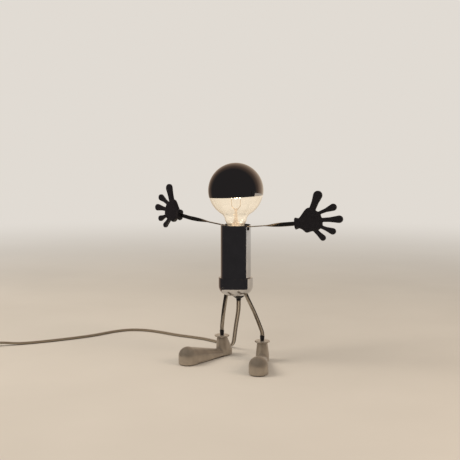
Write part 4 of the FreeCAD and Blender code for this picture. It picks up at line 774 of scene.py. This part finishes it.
# Matt black PVC: an even dark skin with a broad soft shine and the fine grain of its mould.
HAND_GRAIN = 1.2 * MM
HAND_GRAIN_DEPTH = 0.05 * MM
HAND_DRIFT = 5 * MM
black_pvc, tree, surface, place = finish_of("moulded_matt_black_pvc", Roughness=0.5, IOR=1.5)
skin = mottled(tree, surface, place, HAND_GRAIN, "#1D1B1F", "#29262B")
roughened(tree, surface, place, HAND_DRIFT, 0.4, 0.58)
etched = add(tree, "ShaderNodeBump", {"Strength": 0.2, "Distance": HAND_GRAIN_DEPTH},
             {"Height": skin.outputs["Fac"]})
tree.links.new(etched.outputs["Normal"], surface.inputs["Normal"])


def softened(node, name, voxel, smoothing, material):
    """Copy of a CAD piece with all its edges rounded, as a mould or a casting leaves them."""
    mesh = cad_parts[node].data.copy()
    mesh.name = name
    piece = bpy.data.objects.new(name, mesh)
    bpy.context.scene.collection.objects.link(piece)
    remesh = piece.modifiers.new("even_skin", "REMESH")
    remesh.mode = "VOXEL"
    remesh.voxel_size = voxel * MM
    remesh.use_smooth_shade = True
    smooth = piece.modifiers.new("round_edges", "SMOOTH")
    smooth.factor = 0.5
    smooth.iterations = smoothing
    depsgraph = bpy.context.evaluated_depsgraph_get()
    final = bpy.data.meshes.new_from_object(piece.evaluated_get(depsgraph))
    piece.modifiers.clear()
    piece.data = final
    final.name = name
    final.materials.clear()
    final.materials.append(material)
    for polygon in final.polygons:
        polygon.use_smooth = True
        polygon.material_index = 0
    return piece


for side in SIDES:
    hand = softened(side + "_hand", side + "_moulded_hand", HAND_VOXEL, HAND_SMOOTHING, black_pvc)
    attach(hand, side + "_forearm")
    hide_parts(side + "_hand")


# Leg strips. The same kind of strip, wider and thicker: clamped inside the cup, bowed a little
# between hip and ankle, bent upright above the shoe and pressed in a black ferrule.

LEG_WIDTH = 6.8
LEG_THICKNESS = 2.0
LEG_BOW = 1.4
LEG_IN_TUBE = 31.0
HIP_Z = 91.0
ANKLE_Z = 43.0
LEG_END_Z = 38.0
HIPS = {"left": (20.3, 2.5), "right": (-20.0, 2.5)}
ANKLES = {"left": (39.7, 11.0), "right": (-30.3, 6.2)}
LEG_BENDS = [3.0, 18.0, 3.0]

leg_profile = strip_profile(LEG_WIDTH, LEG_THICKNESS)
for side in SIDES:
    hip = Vector((*HIPS[side], HIP_Z))
    ankle = Vector((*ANKLES[side], ANKLE_Z))
    down = (ankle - hip).normalized()
    plan = Vector((down.x, down.y, 0)).normalized()
    outward = (plan - down * plan.dot(down)).normalized()
    middle = (hip + ankle) / 2 + outward * LEG_BOW
    end = Vector((ankle.x, ankle.y, LEG_END_Z))
    line = bent_path([hip - down * LEG_IN_TUBE, hip, middle, ankle, end], LEG_BENDS)
    spread = [Vector((1, 0, 0))] * len(line)
    join = split_at(line, down, middle.dot(down))
    rings = rings_along([spot * MM for spot in line], spread, leg_profile)
    leg = skinned(side + "_leg_strip_bar", rings[:join + 1], strip_metal)
    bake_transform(leg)
    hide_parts(side + "_leg_root", side + "_leg")
    shin = skinned(side + "_shin_strip", rings[join:], strip_metal)
    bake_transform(shin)
    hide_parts(side + "_ankle_strip")


# Shoes. Zinc castings, tumbled and satin plated, each with a turned disc collar, an upright steel
# peg that the ankle turns on, and a rubber pad let in its sole.

SHOE_VOXEL = 0.8
SHOE_SMOOTHING = 12

# Satin plate on a tumbled casting: soft broad light over the form and a fine even grain.
CASTING_GRAIN = 0.6 * MM
CASTING_DEPTH = 0.02 * MM
CASTING_PATCH = 9 * MM
CASTING_DRIFT = 6 * MM
satin, tree, surface, place = finish_of("tumbled_satin_casting", Metallic=0.55, Roughness=0.36)
mottled(tree, surface, place, CASTING_PATCH, "#A3988B", "#B1A698")
roughened(tree, surface, place, CASTING_DRIFT, 0.33, 0.41)
sandy = add(tree, "ShaderNodeTexNoise", {"Scale": 1 / CASTING_GRAIN, "Detail": 2.0},
            {"Vector": place})
cast = add(tree, "ShaderNodeBump", {"Strength": 0.1, "Distance": CASTING_DEPTH},
           {"Height": sandy.outputs["Fac"]})
tree.links.new(cast.outputs["Normal"], surface.inputs["Normal"])
for side in SIDES:
    shoe = softened(side + "_shoe", side + "_cast_shoe", SHOE_VOXEL, SHOE_SMOOTHING, satin)
    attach(shoe, side + "_foot")
    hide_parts(side + "_shoe")

# Turned collar: paler plate over fine turning rings. The texture draws about three to a cell.
RING_CELL = 2.8 * MM
RING_DEPTH = 0.03 * MM
TURNED_PATCH = 3 * MM
TURNED_DRIFT = 2 * MM
turned, tree, surface, place = finish_of("turned_satin_steel", Metallic=0.7, Roughness=0.28)
mottled(tree, surface, place, TURNED_PATCH, "#BDB3A6", "#CFC6BA")
turning = add(tree, "ShaderNodeTexWave", {"Scale": 1 / RING_CELL, "bands_direction": "Z"},
              {"Vector": place})
ringed = add(tree, "ShaderNodeBump", {"Strength": 0.2, "Distance": RING_DEPTH},
             {"Height": turning.outputs["Color"]})
tree.links.new(ringed.outputs["Normal"], surface.inputs["Normal"])
roughened(tree, surface, place, TURNED_DRIFT, 0.22, 0.36)
dress(turned, "left_shoe_collar", "right_shoe_collar")

# Sole pad: grey-black rubber, dusty from the table. Its dark rim under each sole also stands as
# painted shade for the contact shadow there.
RUBBER_PATCH = 1.5 * MM
RUBBER_DRIFT = 3 * MM
rubber_and_painted_shade, tree, surface, place = finish_of("black_rubber_and_painted_shade", Roughness=0.8, IOR=1.5)
mottled(tree, surface, place, RUBBER_PATCH, "#232120", "#34302D")
roughened(tree, surface, place, RUBBER_DRIFT, 0.7, 0.9)
dress(rubber_and_painted_shade, "left_sole_pad", "right_sole_pad")


# Switch and plug on the lead. Both are moulded in smoky polycarbonate and lie past the edge of
# the picture. The plug's pins are brass with moulded half sleeves.

# Smoky polycarbonate: cloudy grey with a clear hard gloss on top.
SMOKE_PATCH = 6 * MM
SMOKE_DRIFT = 4 * MM
smoky, tree, surface, place = finish_of("moulded_smoky_polycarbonate", Roughness=0.22, IOR=1.58)
mottled(tree, surface, place, SMOKE_PATCH, "#6F6C68", "#85817B")
roughened(tree, surface, place, SMOKE_DRIFT, 0.16, 0.3)
surface.inputs["Coat Weight"].default_value = 0.3
surface.inputs["Coat Roughness"].default_value = 0.1
dress(smoky, "switch_lower", "switch_upper", "switch_rocker", "plug_body", "plug_sleeves")
